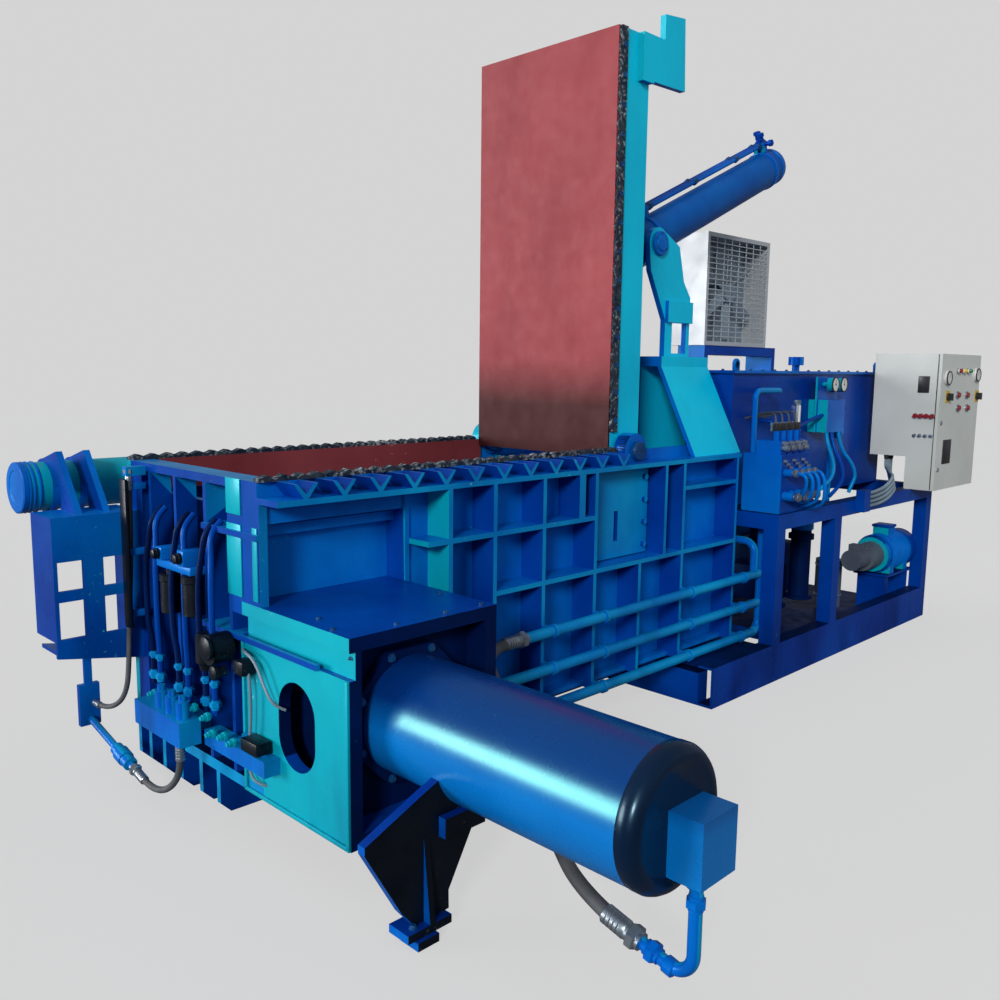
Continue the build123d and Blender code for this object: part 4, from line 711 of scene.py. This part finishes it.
# Hose ends: crimped ferrules, with union nuts where the hose meets a pipe
hoseEnd = {"ferruleLength": 78, "ferruleOver": 6, "nutOver": 14, "nutLength": 46, "fullRadius": 20,
           "least": 0.2}
for hoseName, hoseValues in hoses.items():
    route = hoseValues["route"]
    radius = hoseValues["thick"] * 500
    share = min(1, radius / hoseEnd["fullRadius"] + hoseEnd["least"])
    sleeves = []
    for here, there in ((0, 1), (-1, -2)):
        way = Vector([b - a for a, b in zip(route[here], route[there])]).normalized()
        sleeves.append(ferrule(route[here], way, radius + hoseEnd["ferruleOver"] * share,
                               hoseEnd["ferruleLength"] * share))
        if hoseName == "ram_hose" or here == 0:
            sleeves.append(hexUnion(route[here], -way, radius + hoseEnd["nutOver"] * share,
                                    hoseEnd["nutLength"] * share))
    finished(sleeves, hoseName + "_fittings", slot="rod_chrome")
print("hose ends are on")


# Big cylinder: domed cap, flange bolts and elbow unions
bigEnd = {"at": (277, -1450, 514), "radius": 190, "lip": 1.4, "flangeY": -440, "boltCircle": 212, "bolts": 8,
          "firstBolt": 22.5, "boltSize": 13,
          "dome": [(-16, 187), (-6, 180), (1, 170), (3, 158), (3, 150), (1, 146), (1, 60)]}
lipRadius = bigEnd["radius"] + bigEnd["lip"]
capProfile = [(-52, bigEnd["radius"] + 0.2), (-50, lipRadius), (-27, lipRadius)] + bigEnd["dome"]
bigCap = turned(bigEnd["at"], frontward, capProfile, 96)
finished(bigCap, "big_cylinder_cap", skin="cap_navy", smooth=40)
flangeMiddle = (bigEnd["at"][0], bigEnd["flangeY"], bigEnd["at"][2])
flangeSpots = circleSpots(flangeMiddle, bigEnd["boltCircle"], bigEnd["bolts"], bigEnd["firstBolt"])
boltGroup("big_flange_bolts", flangeSpots, frontward, bigEnd["boltSize"])
bigElbow = {"riserNut": (290, -1500, 300), "riserCollar": (290, -1500, 360), "footNut": (290, -1402, 129),
            "footCollar": (290, -1450, 116), "footWay": (0, 200, 50)}
elbowWay = Vector(bigElbow["footWay"]).normalized()
elbowParts = [
    hexUnion(bigElbow["riserNut"], upward, 27, 40),
    turned(bigElbow["riserCollar"], upward, [(0, 22), (4, 27), (26, 27), (30, 24)]),
    hexUnion(bigElbow["footNut"], elbowWay, 30, 44),
    turned(bigElbow["footCollar"], elbowWay, [(0, 18), (4, 23), (30, 23), (34, 18)]),
]
finished(elbowParts, "big_elbow_unions")
print("big cylinder is dressed")


# Pins of the lid and its tower: trunnion cover with its bolts, rod pin heads, hinge pin caps
lidPins = {"trunnion": (2500, 260, 2242), "coverY": 250, "coverCircle": 50, "coverBolts": 6, "boltSize": 7,
           "rodPin": (2240, 2126), "rodPinEnds": ((378, frontward), (502, backward)),
           "hinge": (1960, 1230), "hingeEnds": ((-50, frontward), (1010, backward))}
coverX, coverZ = lidPins["trunnion"][0], lidPins["trunnion"][2]
pinDisc = turned(lidPins["trunnion"], frontward,
                 [(0, 62), (10, 62), (14, 57), (14, 40), (20, 37), (20, 12)], 40)
finished(pinDisc, "trunnion_cover")
coverSpots = circleSpots((coverX, lidPins["coverY"], coverZ), lidPins["coverCircle"],
                         lidPins["coverBolts"], 30)
boltGroup("trunnion_cover_bolts", coverSpots, frontward, lidPins["boltSize"])

rodX, rodZ = lidPins["rodPin"]
pinHeads = [turned((rodX, y, rodZ), way, [(0, 34), (14, 34), (18, 30), (18, 8)], 32)
            for y, way in lidPins["rodPinEnds"]]
finished(pinHeads, "rod_pin_heads", "lid", "rod_chrome")

hingeX, hingeZ = lidPins["hinge"]
hingeCaps = [turned((hingeX, y, hingeZ), way, [(-8, 44), (6, 44), (11, 39), (11, 12)], 40)
             for y, way in lidPins["hingeEnds"]]
finished(hingeCaps, "hinge_pin_caps", slot="blade_steel")


# Blade bolts: sunk heads up the lid's edge
bladeBolts = {"at": (1882, 33), "firstZ": 1370, "pitch": 126, "count": 14}
bladeSpots = [(*bladeBolts["at"], bladeBolts["firstZ"] + bladeBolts["pitch"] * i)
              for i in range(bladeBolts["count"])]
bladeBolt = turned(bladeSpots[0], frontward, [(0, 13), (2, 13), (3, 11), (3, 7), (1, 6)], 16)
finished(copiedTo(bladeBolt, bladeSpots), "lid_blade_bolts", "lid", "blade_steel")

# Tank cover bolts, along the cover's front and across its end
coverBolts = {"pitch": 130, "top": 1605, "size": 9, "front": (2850, -12, 15), "end": (2822, 60, 6)}
rowX, rowY, rowCount = coverBolts["front"]
coverSpots = [(rowX + coverBolts["pitch"] * i, rowY, coverBolts["top"]) for i in range(rowCount)]
rowX, rowY, rowCount = coverBolts["end"]
coverSpots += [(rowX, rowY + coverBolts["pitch"] * i, coverBolts["top"]) for i in range(rowCount)]
boltGroup("tank_cover_bolts", coverSpots, upward, coverBolts["size"])
print("pins and bolts are in")


# Gauges on their block
def dialRim(at, radius, sides):
    steps = [(0, 0), (3, 0), (6, 3), (6, 7), (2, 8), (2, 16)]
    return turned(at, frontward, [(along, radius - less) for along, less in steps], sides)


def dialFace(at, radius, sides):
    steps = [(0, 7.5), (2.4, 7.5), (2.6, 10)]
    return turned(at, frontward, [(along, radius - less) for along, less in steps], sides)


gaugeDials = {"x": (3735, 3845), "front": -132, "z": 1530, "radius": 46, "sides": 40, "ticks": 9,
              "tickCircle": 31, "tickHalf": 1.4, "tickY": (-135.4, -134.4), "firstTick": -40, "sweep": 260,
              "needleHalf": 1.3, "needleY": (-136.6, -135.4), "needleZ": (-8, 27), "hubY": -134.6}
for number, x in enumerate(gaugeDials["x"], start=1):
    z = gaugeDials["z"]
    half = gaugeDials["tickHalf"]
    bezel = dialRim((x, gaugeDials["front"], z), gaugeDials["radius"], gaugeDials["sides"])
    finished(bezel, f"gauge_bezel_{number}", slot="cast_grey", skin="dark_wire")
    face = dialFace((x, gaugeDials["front"], z), gaugeDials["radius"], gaugeDials["sides"])
    finished(face, f"gauge_face_{number}", slot="gauge_white")
    marks = []
    for i in range(gaugeDials["ticks"]):
        angle = math.radians(gaugeDials["firstTick"] + gaugeDials["sweep"] / (gaugeDials["ticks"] - 1) * i)
        tickX = x + gaugeDials["tickCircle"] * math.cos(angle)
        tickZ = z + gaugeDials["tickCircle"] * math.sin(angle)
        marks.append(bevelBox((tickX - half, tickX + half), gaugeDials["tickY"], (tickZ - half, tickZ + half),
                              0.3, 1))
    foot, tip = gaugeDials["needleZ"]
    marks.append(bevelBox((x - gaugeDials["needleHalf"], x + gaugeDials["needleHalf"]), gaugeDials["needleY"],
                          (z + foot, z + tip), 0.4, 1))
    marks.append(turned((x, gaugeDials["hubY"], z), frontward, [(0, 4.5), (3, 4.5), (3.6, 3)], 16))
    finished(marks, f"gauge_marks_{number}", slot="switch_black")
print("gauges are read")


# Valve stack: plugs, unions and hard lines on the block's front and over it
valveStack = {"x": 2820, "pitch": 68, "count": 4, "upperY": -300, "nutZ": 1215, "plugZ": 1238,
              "middle": (-365, 1090), "low": (-380, 970), "lineRadius": 9, "conduitRadius": 5,
              "solenoid": ((4, 50), (-270, -230), (1300, 1338))}
stackX = [valveStack["x"] + valveStack["pitch"] * i for i in range(valveStack["count"])]
plugProfile = [(0, 12), (14, 12), (16, 10), (24, 10), (26, 8)]
fittings = []
for x in stackX:
    fittings.append(hexUnion((x + 19, valveStack["upperY"], valveStack["nutZ"]), frontward, 17, 34))
    fittings.append(turned((x + 19, valveStack["upperY"], valveStack["plugZ"]), frontward, plugProfile, 20))
    fittings.append(hexUnion((x + 20, *valveStack["middle"]), frontward, 21, 26))
    fittings.append(hexUnion((x + 20, *valveStack["low"]), frontward, 24, 30))
finished(fittings, "valve_fittings", slot="rod_chrome")
(plugLeft, plugRight), plugY, plugZ = valveStack["solenoid"]
solenoids = [bevelBox((x + plugLeft, x + plugRight), plugY, plugZ, 4) for x in stackX]
finished(solenoids, "solenoid_plugs", slot="switch_black")
for i, left in enumerate(stackX):
    x = left + 20
    bentTube(f"valve_line_{i + 1}",
             [(x, -392, 1090), (x, -430, 1090), (x + 6, -440, 1040 - 30 * i), (x + 30, -400, 960 - 20 * i),
              (x + 40, -260, 930 - 20 * i), (x + 40, -180, 900)], valveStack["lineRadius"])
    bentTube(f"plug_conduit_{i + 1}",
             [(x + 6, -250, 1330), (x + 6, -250, 1372), (x + 30, -220, 1392), (x + 90, -120, 1385),
              (x + 130, -40, 1360), (x + 130, 0, 1350)], valveStack["conduitRadius"],
             skin="hose_rubber")

# Tank: sight glass, lifting eyes and blanked port flanges
tankFront = {"sightBars": (((3520, 3556), (-16, 2), (1130, 1420), 5),
                           ((3508, 3568), (-12, 2), (1110, 1140), 4),
                           ((3508, 3568), (-12, 2), (1410, 1440), 4)),
             "glass": (3538, -16, 1140), "eyes": (2900, 4640), "coverTop": 1605, "eyeHeight": 35,
             "ports": ((3180, 1180), (3320, 1180), (4080, 1240))}
sight = [bevelBox(*bar) for bar in tankFront["sightBars"]]
finished(sight, "tank_sight_frame", slot="cast_grey", skin="plated_steel")
glass = turned(tankFront["glass"], upward, [(0, 6), (4, 9), (266, 9), (270, 6)], 16)
finished(glass, "tank_sight_glass", slot="gauge_white")
eyes = []
eyeTop = tankFront["coverTop"] + tankFront["eyeHeight"]
for x in tankFront["eyes"]:
    eyes.append(bevelBox((x - 28, x + 28), (20, 36), (tankFront["coverTop"], eyeTop), 4))
    eyes.append(turned((x, 20, eyeTop), backward,
                       [(0, 26), (3, 28), (13, 28), (16, 26), (16, 14), (0, 14)], 28))
finished(eyes, "tank_lifting_eyes")
ports = [turned((x, 0, z), frontward, [(0, 48), (12, 48), (16, 44), (16, 26), (30, 24), (30, 8)], 32)
         for x, z in tankFront["ports"]]
finished(ports, "tank_ports")
print("valves and tank are dressed")


# Console: meters, lamps, legend plates, bezels and dark panels
console = {"front": -482, "dialY": -496, "meters": ((4496, 1574), (4998, 1594)), "meterRadius": 44,
           "meterSides": 36, "handHalf": 1.2, "handY": (-500.2, -498.8), "handZ": (-4, 25), "lampZ": 1618,
           "lensY": -497.8, "lamps": ((4665, "button_red"), (4750, "legend_yellow"), (4836, "lamp_green")),
           "buttons": ((4687, 1468), (4845, 1466), (4704, 1386), (4864, 1383)),
           "switches": ((4530, 1458), (5036, 1457)), "plateHalf": (36, 38), "plateY": (-483.6, -481.6),
           "window": ((4509, 4641), (-486, -481), (1041, 1192)), "side": 4406,
           "sideWindow": ((4401, 4407), (-415, -347), (1482, 1584)), "sideButtons": (-445, -412, -379, -346),
           "sideZ": 1340, "sideLowZ": 1218, "seam": ((4402, 4406), (-463, -459), (884, 1716)),
           "lockX": 4450, "locks": (1010, 1300), "gland": (4430, -170, 1083), "glandPitch": 25, "glands": 4}
for number, (x, z) in enumerate(console["meters"], start=1):
    rim = dialRim((x, console["dialY"], z), console["meterRadius"], console["meterSides"])
    finished(rim, f"meter_rim_{number}", "console_door", "switch_black")
    dial = dialFace((x, console["dialY"], z), console["meterRadius"], console["meterSides"])
    finished(dial, f"meter_dial_{number}", "console_door", "gauge_white")
    foot, tip = console["handZ"]
    hand = bevelBox((x - console["handHalf"], x + console["handHalf"]), console["handY"], (z + foot, z + tip),
                    0.4, 1)
    finished(hand, f"meter_hand_{number}", "console_door", "switch_black")
for number, (x, skin) in enumerate(console["lamps"], start=1):
    ring = turned((x, console["front"], console["lampZ"]), frontward,
                  [(0, 19), (6, 19), (8, 17), (8, 12)], 28)
    finished(ring, f"lamp_ring_{number}", "console_door", "rod_chrome")
    dome = turned((x, console["lensY"], console["lampZ"]), frontward,
                  [(0, 14), (6, 13.6), (12, 11), (16, 7), (18, 2)], 28)
    finished(dome, f"lamp_lens_{number}", "console_door", "gauge_white", skin, 60)
bezels = [turned((x, console["front"], z), frontward, [(0, 24), (7, 24), (10, 21), (10, 17.2), (1, 17.2)], 32)
          for x, z in console["buttons"]]
finished(bezels, "button_bezels", "console_door", "rod_chrome")
halfWide, halfHigh = console["plateHalf"]
plates = [bevelBox((x - halfWide, x + halfWide), console["plateY"], (z - halfHigh, z + halfHigh), 0.7, 1)
          for x, z in console["switches"]]
finished(plates, "switch_legends", "console_door", "gauge_white", "legend_yellow")
finished(bevelBox(*console["window"], 1.6), "console_window", "console_door", "switch_black")
finished(bevelBox(*console["sideWindow"], 1.6), "side_window", slot="switch_black")
sideBezels = []
for y in console["sideButtons"]:
    sideBezels.append(turned((console["side"], y, console["sideZ"]), endward,
                             [(0, 16), (4, 16), (6, 15), (6, 14.6), (1, 14.6)]))
    sideBezels.append(turned((console["side"], y, console["sideLowZ"]), endward,
                             [(0, 12), (6, 12), (9, 10), (12, 10), (13, 7)]))
finished(sideBezels, "side_bezels", slot="rod_chrome")
finished(bevelBox(*console["seam"], 0.8, 1), "console_seal", slot="switch_black")
locks = [turned((console["lockX"], console["front"], z), frontward,
                [(0, 14), (5, 14), (7, 12), (7, 6), (3, 5)]) for z in console["locks"]]
finished(locks, "console_locks", "console_door", "rod_chrome")
glandX, glandY, glandZ = console["gland"]
glands = [turned((glandX + console["glandPitch"] * i, glandY, glandZ), downward,
                 [(0, 15), (12, 15), (14, 13), (26, 13), (28, 11)], 12) for i in range(console["glands"])]
finished(glands, "cable_glands", slot="cast_grey", skin="dark_wire")
print("console is wired")


# Motor behind the legs: fins, cowl and terminal lid; bands on the suction filter, bolts in the feet
motor = {"axis": (-170, 450), "finX": 4345, "pitch": 22, "fins": 13, "cowlX": 4690,
         "terminalLid": ((4412, 4528), (-228, -112), (613, 630)), "band": (4200, 60, 160), "bandRise": 200,
         "skidFeet": ((2800, -300, 12), (3440, -300, 12), (4741, -300, 12)),
         "ramFeet": ((60, -778, 50), (100, -735, 50), (0, -778, 50))}
fin = turned((motor["finX"], *motor["axis"]), packward, [(0, 112), (0, 124), (6, 124), (6, 112)], 40)
fins = copied(fin, [(motor["pitch"] * i, 0, 0) for i in range(1, motor["fins"])])
finished(fins, "motor_fins")
cowl = turned((motor["cowlX"], *motor["axis"]), packward,
              [(-60, 126), (30, 126), (44, 118), (48, 100), (48, 40), (44, 30)], 40)
# cowl and terminal lid in the shaded blue: painted shade behind the legs
finished(cowl, "motor_cowl", skin="blue_painted_shade")
finished(bevelBox(*motor["terminalLid"], 5), "terminal_lid", skin="blue_painted_shade")
band = turned(motor["band"], upward, [(0, 84), (3, 86), (12, 86), (15, 84)], 40)
finished(copied(band, [(0, 0, motor["bandRise"])]), "filter_bands", slot="cast_grey", skin="plated_steel")
boltGroup("skid_foot_bolts", motor["skidFeet"], upward, 14)
boltGroup("foot_bolts", motor["ramFeet"], upward, 12)
print("motor is fitted")


# Bale end: hose guard and its clips, pressure lines with their unions, filters on a rail, valves and tees
baleEnd = {"guard": ((-88, -74), (790, 842), (600, 1172)), "clip": ((-75, 2), (806, 826)), "clipHigh": 26,
           "clips": (640, 880, 1130), "lines": (236, 300, 430, 500, 650, 705), "lineX": -40, "lineRadius": 11,
           "lean": 14, "nuts": ((420, 21, 34), (500, 18, 26)), "cans": ((560, 700), (390, 720)),
           "rail": (((-60, 4), (352, 612), (872, 902)), ((-74, 4), (372, 420), (902, 960)),
                    ((-74, 4), (540, 588), (902, 950))),
           "solenoids": ((396, 932), (564, 926), (440, 335), (520, 335)),
           "tees": ((236, 402), (330, 410), (430, 352), (500, 360), (570, 372), (640, 382), (60, 362),
                    (120, 366), (200, 352))}
finished(bevelBox(*baleEnd["guard"], 4), "hose_guard", slot="switch_black", skin="cast_black")
clips = [bevelBox(*baleEnd["clip"], (z, z + baleEnd["clipHigh"]), 3) for z in baleEnd["clips"]]
finished(clips, "hose_guard_clips")
lineX = baleEnd["lineX"]
# the lines take the shaded and the deep-shaded blue in turn: painted shade
for number, y in enumerate(baleEnd["lines"], start=1):
    lean = baleEnd["lean"] * (-1) ** number
    bentTube(f"end_pipe_{number}",
             [(lineX, y, 400), (lineX, y, 560), (-52, y + lean, 640), (-52, y + lean, 860), (lineX, y, 960),
              (-34, y - lean, 1040), (10, y - lean, 1075)], baleEnd["lineRadius"],
             skin="blue_painted_shade" if number % 2 else "navy_painted_deep_shade")
# their unions take the half-lit blue: painted light
nuts = [hexUnion((lineX, y, z), upward, radius, length)
        for y in baleEnd["lines"] for z, radius, length in baleEnd["nuts"]]
finished(nuts, "end_pipe_unions", skin="blue_painted_half_light")
canProfile = [(0, 26), (6, 38), (120, 38), (124, 42), (146, 42), (150, 36), (150, 16), (176, 16), (180, 12)]
cans = [turned((-30, y, z), upward, canProfile, 32) for y, z in baleEnd["cans"]]
finished(cans, "end_filters", slot="cast_grey")
rail = [bevelBox(*bar, 5) for bar in baleEnd["rail"]]
finished(rail, "end_filter_rail")
caps = [turned((-74, y, z), endward, [(0, 20), (10, 20), (12, 17), (22, 17), (24, 13)])
        for y, z in baleEnd["solenoids"]]
finished(caps, "end_solenoids", slot="switch_black", skin="cast_black")
valveBodies = [
    turned((-104, 150, 672), endward, [(0, 34), (8, 40), (16, 40), (22, 26)], 28),
    turned((-70, 236, 640), downward, [(-60, 26), (-52, 34), (40, 34), (48, 24), (70, 20)], 28),
    turned((-60, 130, 590), endward, [(0, 18), (26, 18), (30, 24), (44, 24), (48, 16)]),
    bevelBox((-58, -6), (20, 82), (590, 640), 8),
    bevelBox((-66, -8), (-70, 30), (345, 388), 5),
]
finished(valveBodies, "end_valve_bodies", slot="cast_grey")
# the tees take the lit blue: painted light
tees = []
for y, z in baleEnd["tees"]:
    tees.append(hexUnion((-62, y, z), endward, 17, 22))
    tees.append(turned((-84, y, z), endward, [(0, 11), (8, 11), (10, 8), (16, 8)], 16))
finished(tees, "end_block_unions", skin="blue_painted_light")

# Door cylinder: end cap and three rings
doorCylinder = {"at": (-304, 1250, 1116), "radius": 97, "ringThick": 5, "rings": (-296, -280, -258)}
rings = [turned(doorCylinder["at"], endward,
                [(0, 98), (1, 101), (16, 101), (20, 95), (20, 70), (17, 66), (17, 20)], 48)]
for x in doorCylinder["rings"]:
    nothingSelected()
    bpy.ops.mesh.primitive_torus_add(major_radius=doorCylinder["radius"] / 1000,
                                     minor_radius=doorCylinder["ringThick"] / 1000, major_segments=56,
                                     minor_segments=10, location=place(x, *doorCylinder["at"][1:]),
                                     rotation=(0, math.pi / 2, 0))
    rings.append(bpy.context.active_object)
    bakePlace(rings[-1])
finished(rings, "door_cylinder_rings")

# Ram housing: thin pipes on its mouth, thin pale strips on its rim and post faces as painted highlight, bolts
# on its top
housing = {"pipes": ([(-8, 96, 660), (-30, 60, 668), (-34, -20, 655), (-30, -80, 560), (-20, -110, 520),
                      (10, -130, 505)],
                     [(-8, 110, 600), (-30, 40, 640), (-34, 10, 560), (-30, 20, 400), (-30, 50, 330),
                      (-26, 40, 240), (-20, -10, 220), (4, -20, 214)]),
           "pipeRadius": 5,
           "rim": (((-9, 0), (-490, -476), (170, 690)), ((-9, 0), (96, 110), (170, 690)),
                   ((-9, 0), (-490, 110), (162, 176))),
           "postHighlights": (((-5, 0), (100, 192), (836, 1080)), ((-5, 0), (100, 192), (1112, 1232)),
                         ((-5, 0), (0, 30), (836, 1080))),
           "bolts": ((22, -470, 750), (22, -380, 820), (200, -460, 820), (400, -460, 820), (560, -460, 820),
                     (560, -250, 820), (60, -250, 820)), "boltSize": 9}
for number, points in enumerate(housing["pipes"], start=1):
    bentTube(f"housing_pipe_{number}", points, housing["pipeRadius"], skin="grey_line")
# thin strips in the lit blue: painted highlight on the housing's rim and the front post
finished([bevelBox(*bar, 2) for bar in housing["rim"]], "housing_rim_highlight", skin="blue_painted_light")
finished([bevelBox(*bar, 1.5) for bar in housing["postHighlights"]], "front_post_highlight", skin="blue_painted_light")
boltGroup("housing_bolts", housing["bolts"], upward, housing["boltSize"])
print("bale end is piped")


# Lid cylinder: gland ring, end cap and the pipe block on its back end
lidBarrel = {"trunnion": (2500, 440, 2242), "lean": (260, 116), "radius": 106.3, "unionSides": (-22, 22),
             "unionsAlong": (170, 620, 1070, 1340), "unionRise": 151}
lidTilt = math.atan2(lidBarrel["lean"][1], lidBarrel["lean"][0])
lidAlong = Vector((math.cos(lidTilt), 0, math.sin(lidTilt)))
lidUp = Vector((-math.sin(lidTilt), 0, math.cos(lidTilt)))


def lidSpot(along, side, up):
    spot = Vector(lidBarrel["trunnion"]) + lidAlong * along + lidUp * up
    return (spot.x, spot.y + side, spot.z)


bare = lidBarrel["radius"]
lidTrim = [
    turned(lidSpot(1500, 0, 0), lidAlong,
           [(-34, bare), (-32, 109), (-10, 109), (-2, 104), (3, 94), (3, 30)], 64),
    turned(lidSpot(1380, 0, 0), lidAlong, [(0, bare), (3, 112), (22, 112), (25, bare)], 64),
    turned(lidSpot(120, 0, 0), lidAlong, [(0, bare), (3, 114), (30, 114), (33, bare)], 64),
    turned(lidSpot(-130, 0, 0), -lidAlong, [(-26, bare), (-24, 110), (0, 110), (6, 100), (6, 56)], 64),
]
finished(lidTrim, "lid_cylinder_rings", "lid_barrel")
# the pipe block takes the shaded blue: painted shade
lidBlock = [
    turned(lidSpot(1400, 0, 150), lidAlong, [(0, 34), (4, 38), (60, 38), (64, 34)], 4),
    turned(lidSpot(1410, -22, 176), lidUp, [(0, 15), (20, 15), (22, 20), (40, 20), (44, 15)], 20),
    turned(lidSpot(1450, 22, 176), lidUp, [(0, 15), (26, 15), (28, 22), (46, 22), (50, 15)], 20),
    turned(lidSpot(1430, -30, 150), frontward, [(0, 14), (26, 14), (30, 19), (48, 19), (52, 14)], 20),
]
finished(lidBlock, "lid_pipe_block", "lid_barrel", skin="blue_painted_shade")
lidUnions = [hexUnion(lidSpot(along, side, lidBarrel["unionRise"]), lidAlong, 21, 40)
             for side in lidBarrel["unionSides"] for along in lidBarrel["unionsAlong"]]
finished(lidUnions, "lid_pipe_unions", "lid_barrel", skin="bolt_blue")
print("lid cylinder is trimmed")


# Pipes and studs in front of the tank, the skid's deck and the suction pipes under the tank
tankLines = {"radius": 11, "routes": [
    [(3700, -110, 1250), (3700, -120, 1180), (3660, -190, 1080), (3560, -230, 1000), (3440, -230, 960),
     (3380, -200, 900)],
    [(3760, -110, 1250), (3760, -130, 1160), (3740, -200, 1060), (3700, -230, 980), (3640, -220, 930),
     (3600, -200, 890)],
    [(3850, -110, 1250), (3852, -130, 1150), (3900, -190, 1060), (3930, -200, 980), (3900, -190, 930),
     (3890, -180, 885)],
    [(3090, -200, 1120), (3150, -200, 1130), (3230, -190, 1110), (3300, -170, 1040), (3320, -150, 960),
     (3320, -140, 890)],
    [(3090, -260, 1040), (3160, -260, 1050), (3240, -250, 1030), (3290, -230, 980), (3300, -220, 930),
     (3300, -215, 885)],
    [(3140, 0, 1330), (3140, -60, 1332), (3200, -90, 1300), (3380, -90, 1290), (3560, -80, 1330),
     (3680, -90, 1350)],
]}
# the tank pipes take the half-lit and the shaded blue in turn: painted light and painted shade
for number, points in enumerate(tankLines["routes"], start=1):
    bentTube(f"tank_pipe_{number}", points, tankLines["radius"],
             skin="blue_painted_half_light" if number % 2 else "blue_painted_shade")
studs = {"x": 2815, "pitch": 31, "count": 9, "front": -324, "topRow": 1150, "step": 18,
         "upright": (-240, 1300)}
pegs = []
for i in range(studs["count"]):
    x = studs["x"] + studs["pitch"] * i
    pegs.append(turned((x, studs["front"], studs["topRow"] - studs["step"] * (i % 3)), frontward,
                       [(0, 9), (8, 9), (10, 7), (16, 7), (17, 4)], 12))
    pegs.append(turned((x + 9, *studs["upright"]), upward, [(0, 6), (26, 6), (30, 8), (40, 8), (42, 5)], 12))
finished(pegs, "valve_studs", slot="rod_chrome")
underTank = {"deck": ((2216, 2756), (-262, -16), (184, 194)), "foot": 206,
             "pipes": ((3480, 40, 880, 34), (3620, 260, 880, 44), (3800, 60, 640, 60), (3960, 330, 880, 30)),
             "strainers": (((3540, 3760), (120, 420), (206, 420)), ((3780, 4040), (200, 560), (206, 520)))}
# the deck and the suction pipes under the tank take the deep painted shade
finished(bevelBox(*underTank["deck"], 2), "skid_deck", skin="navy_painted_deep_shade")
foot = underTank["foot"]
drops = []
for x, y, top, r in underTank["pipes"]:
    drops.append(turned((x, y, foot), upward, [(0, r), (top - foot, r)], 28))
    drops.append(turned((x, y, foot + 4), upward, [(0, r + 4), (4, r + 24), (20, r + 24), (24, r + 4)], 28))
    drops.append(turned((x, y, top - 60), upward, [(0, r), (4, r + 16), (34, r + 16), (38, r)], 28))
drops += [bevelBox(*strainer, 8) for strainer in underTank["strainers"]]
finished(drops, "suction_pipes", skin="navy_painted_deep_shade")
elbows = [turned((3620, 240, 560), frontward, [(0, 40), (60, 40), (64, 60), (84, 60), (88, 40)], 28),
          turned((3800, 60, 640), upward, [(0, 62), (6, 70), (40, 70), (52, 50), (90, 50), (96, 30)], 28)]
finished(elbows, "suction_elbows")
print("tank lines are in")
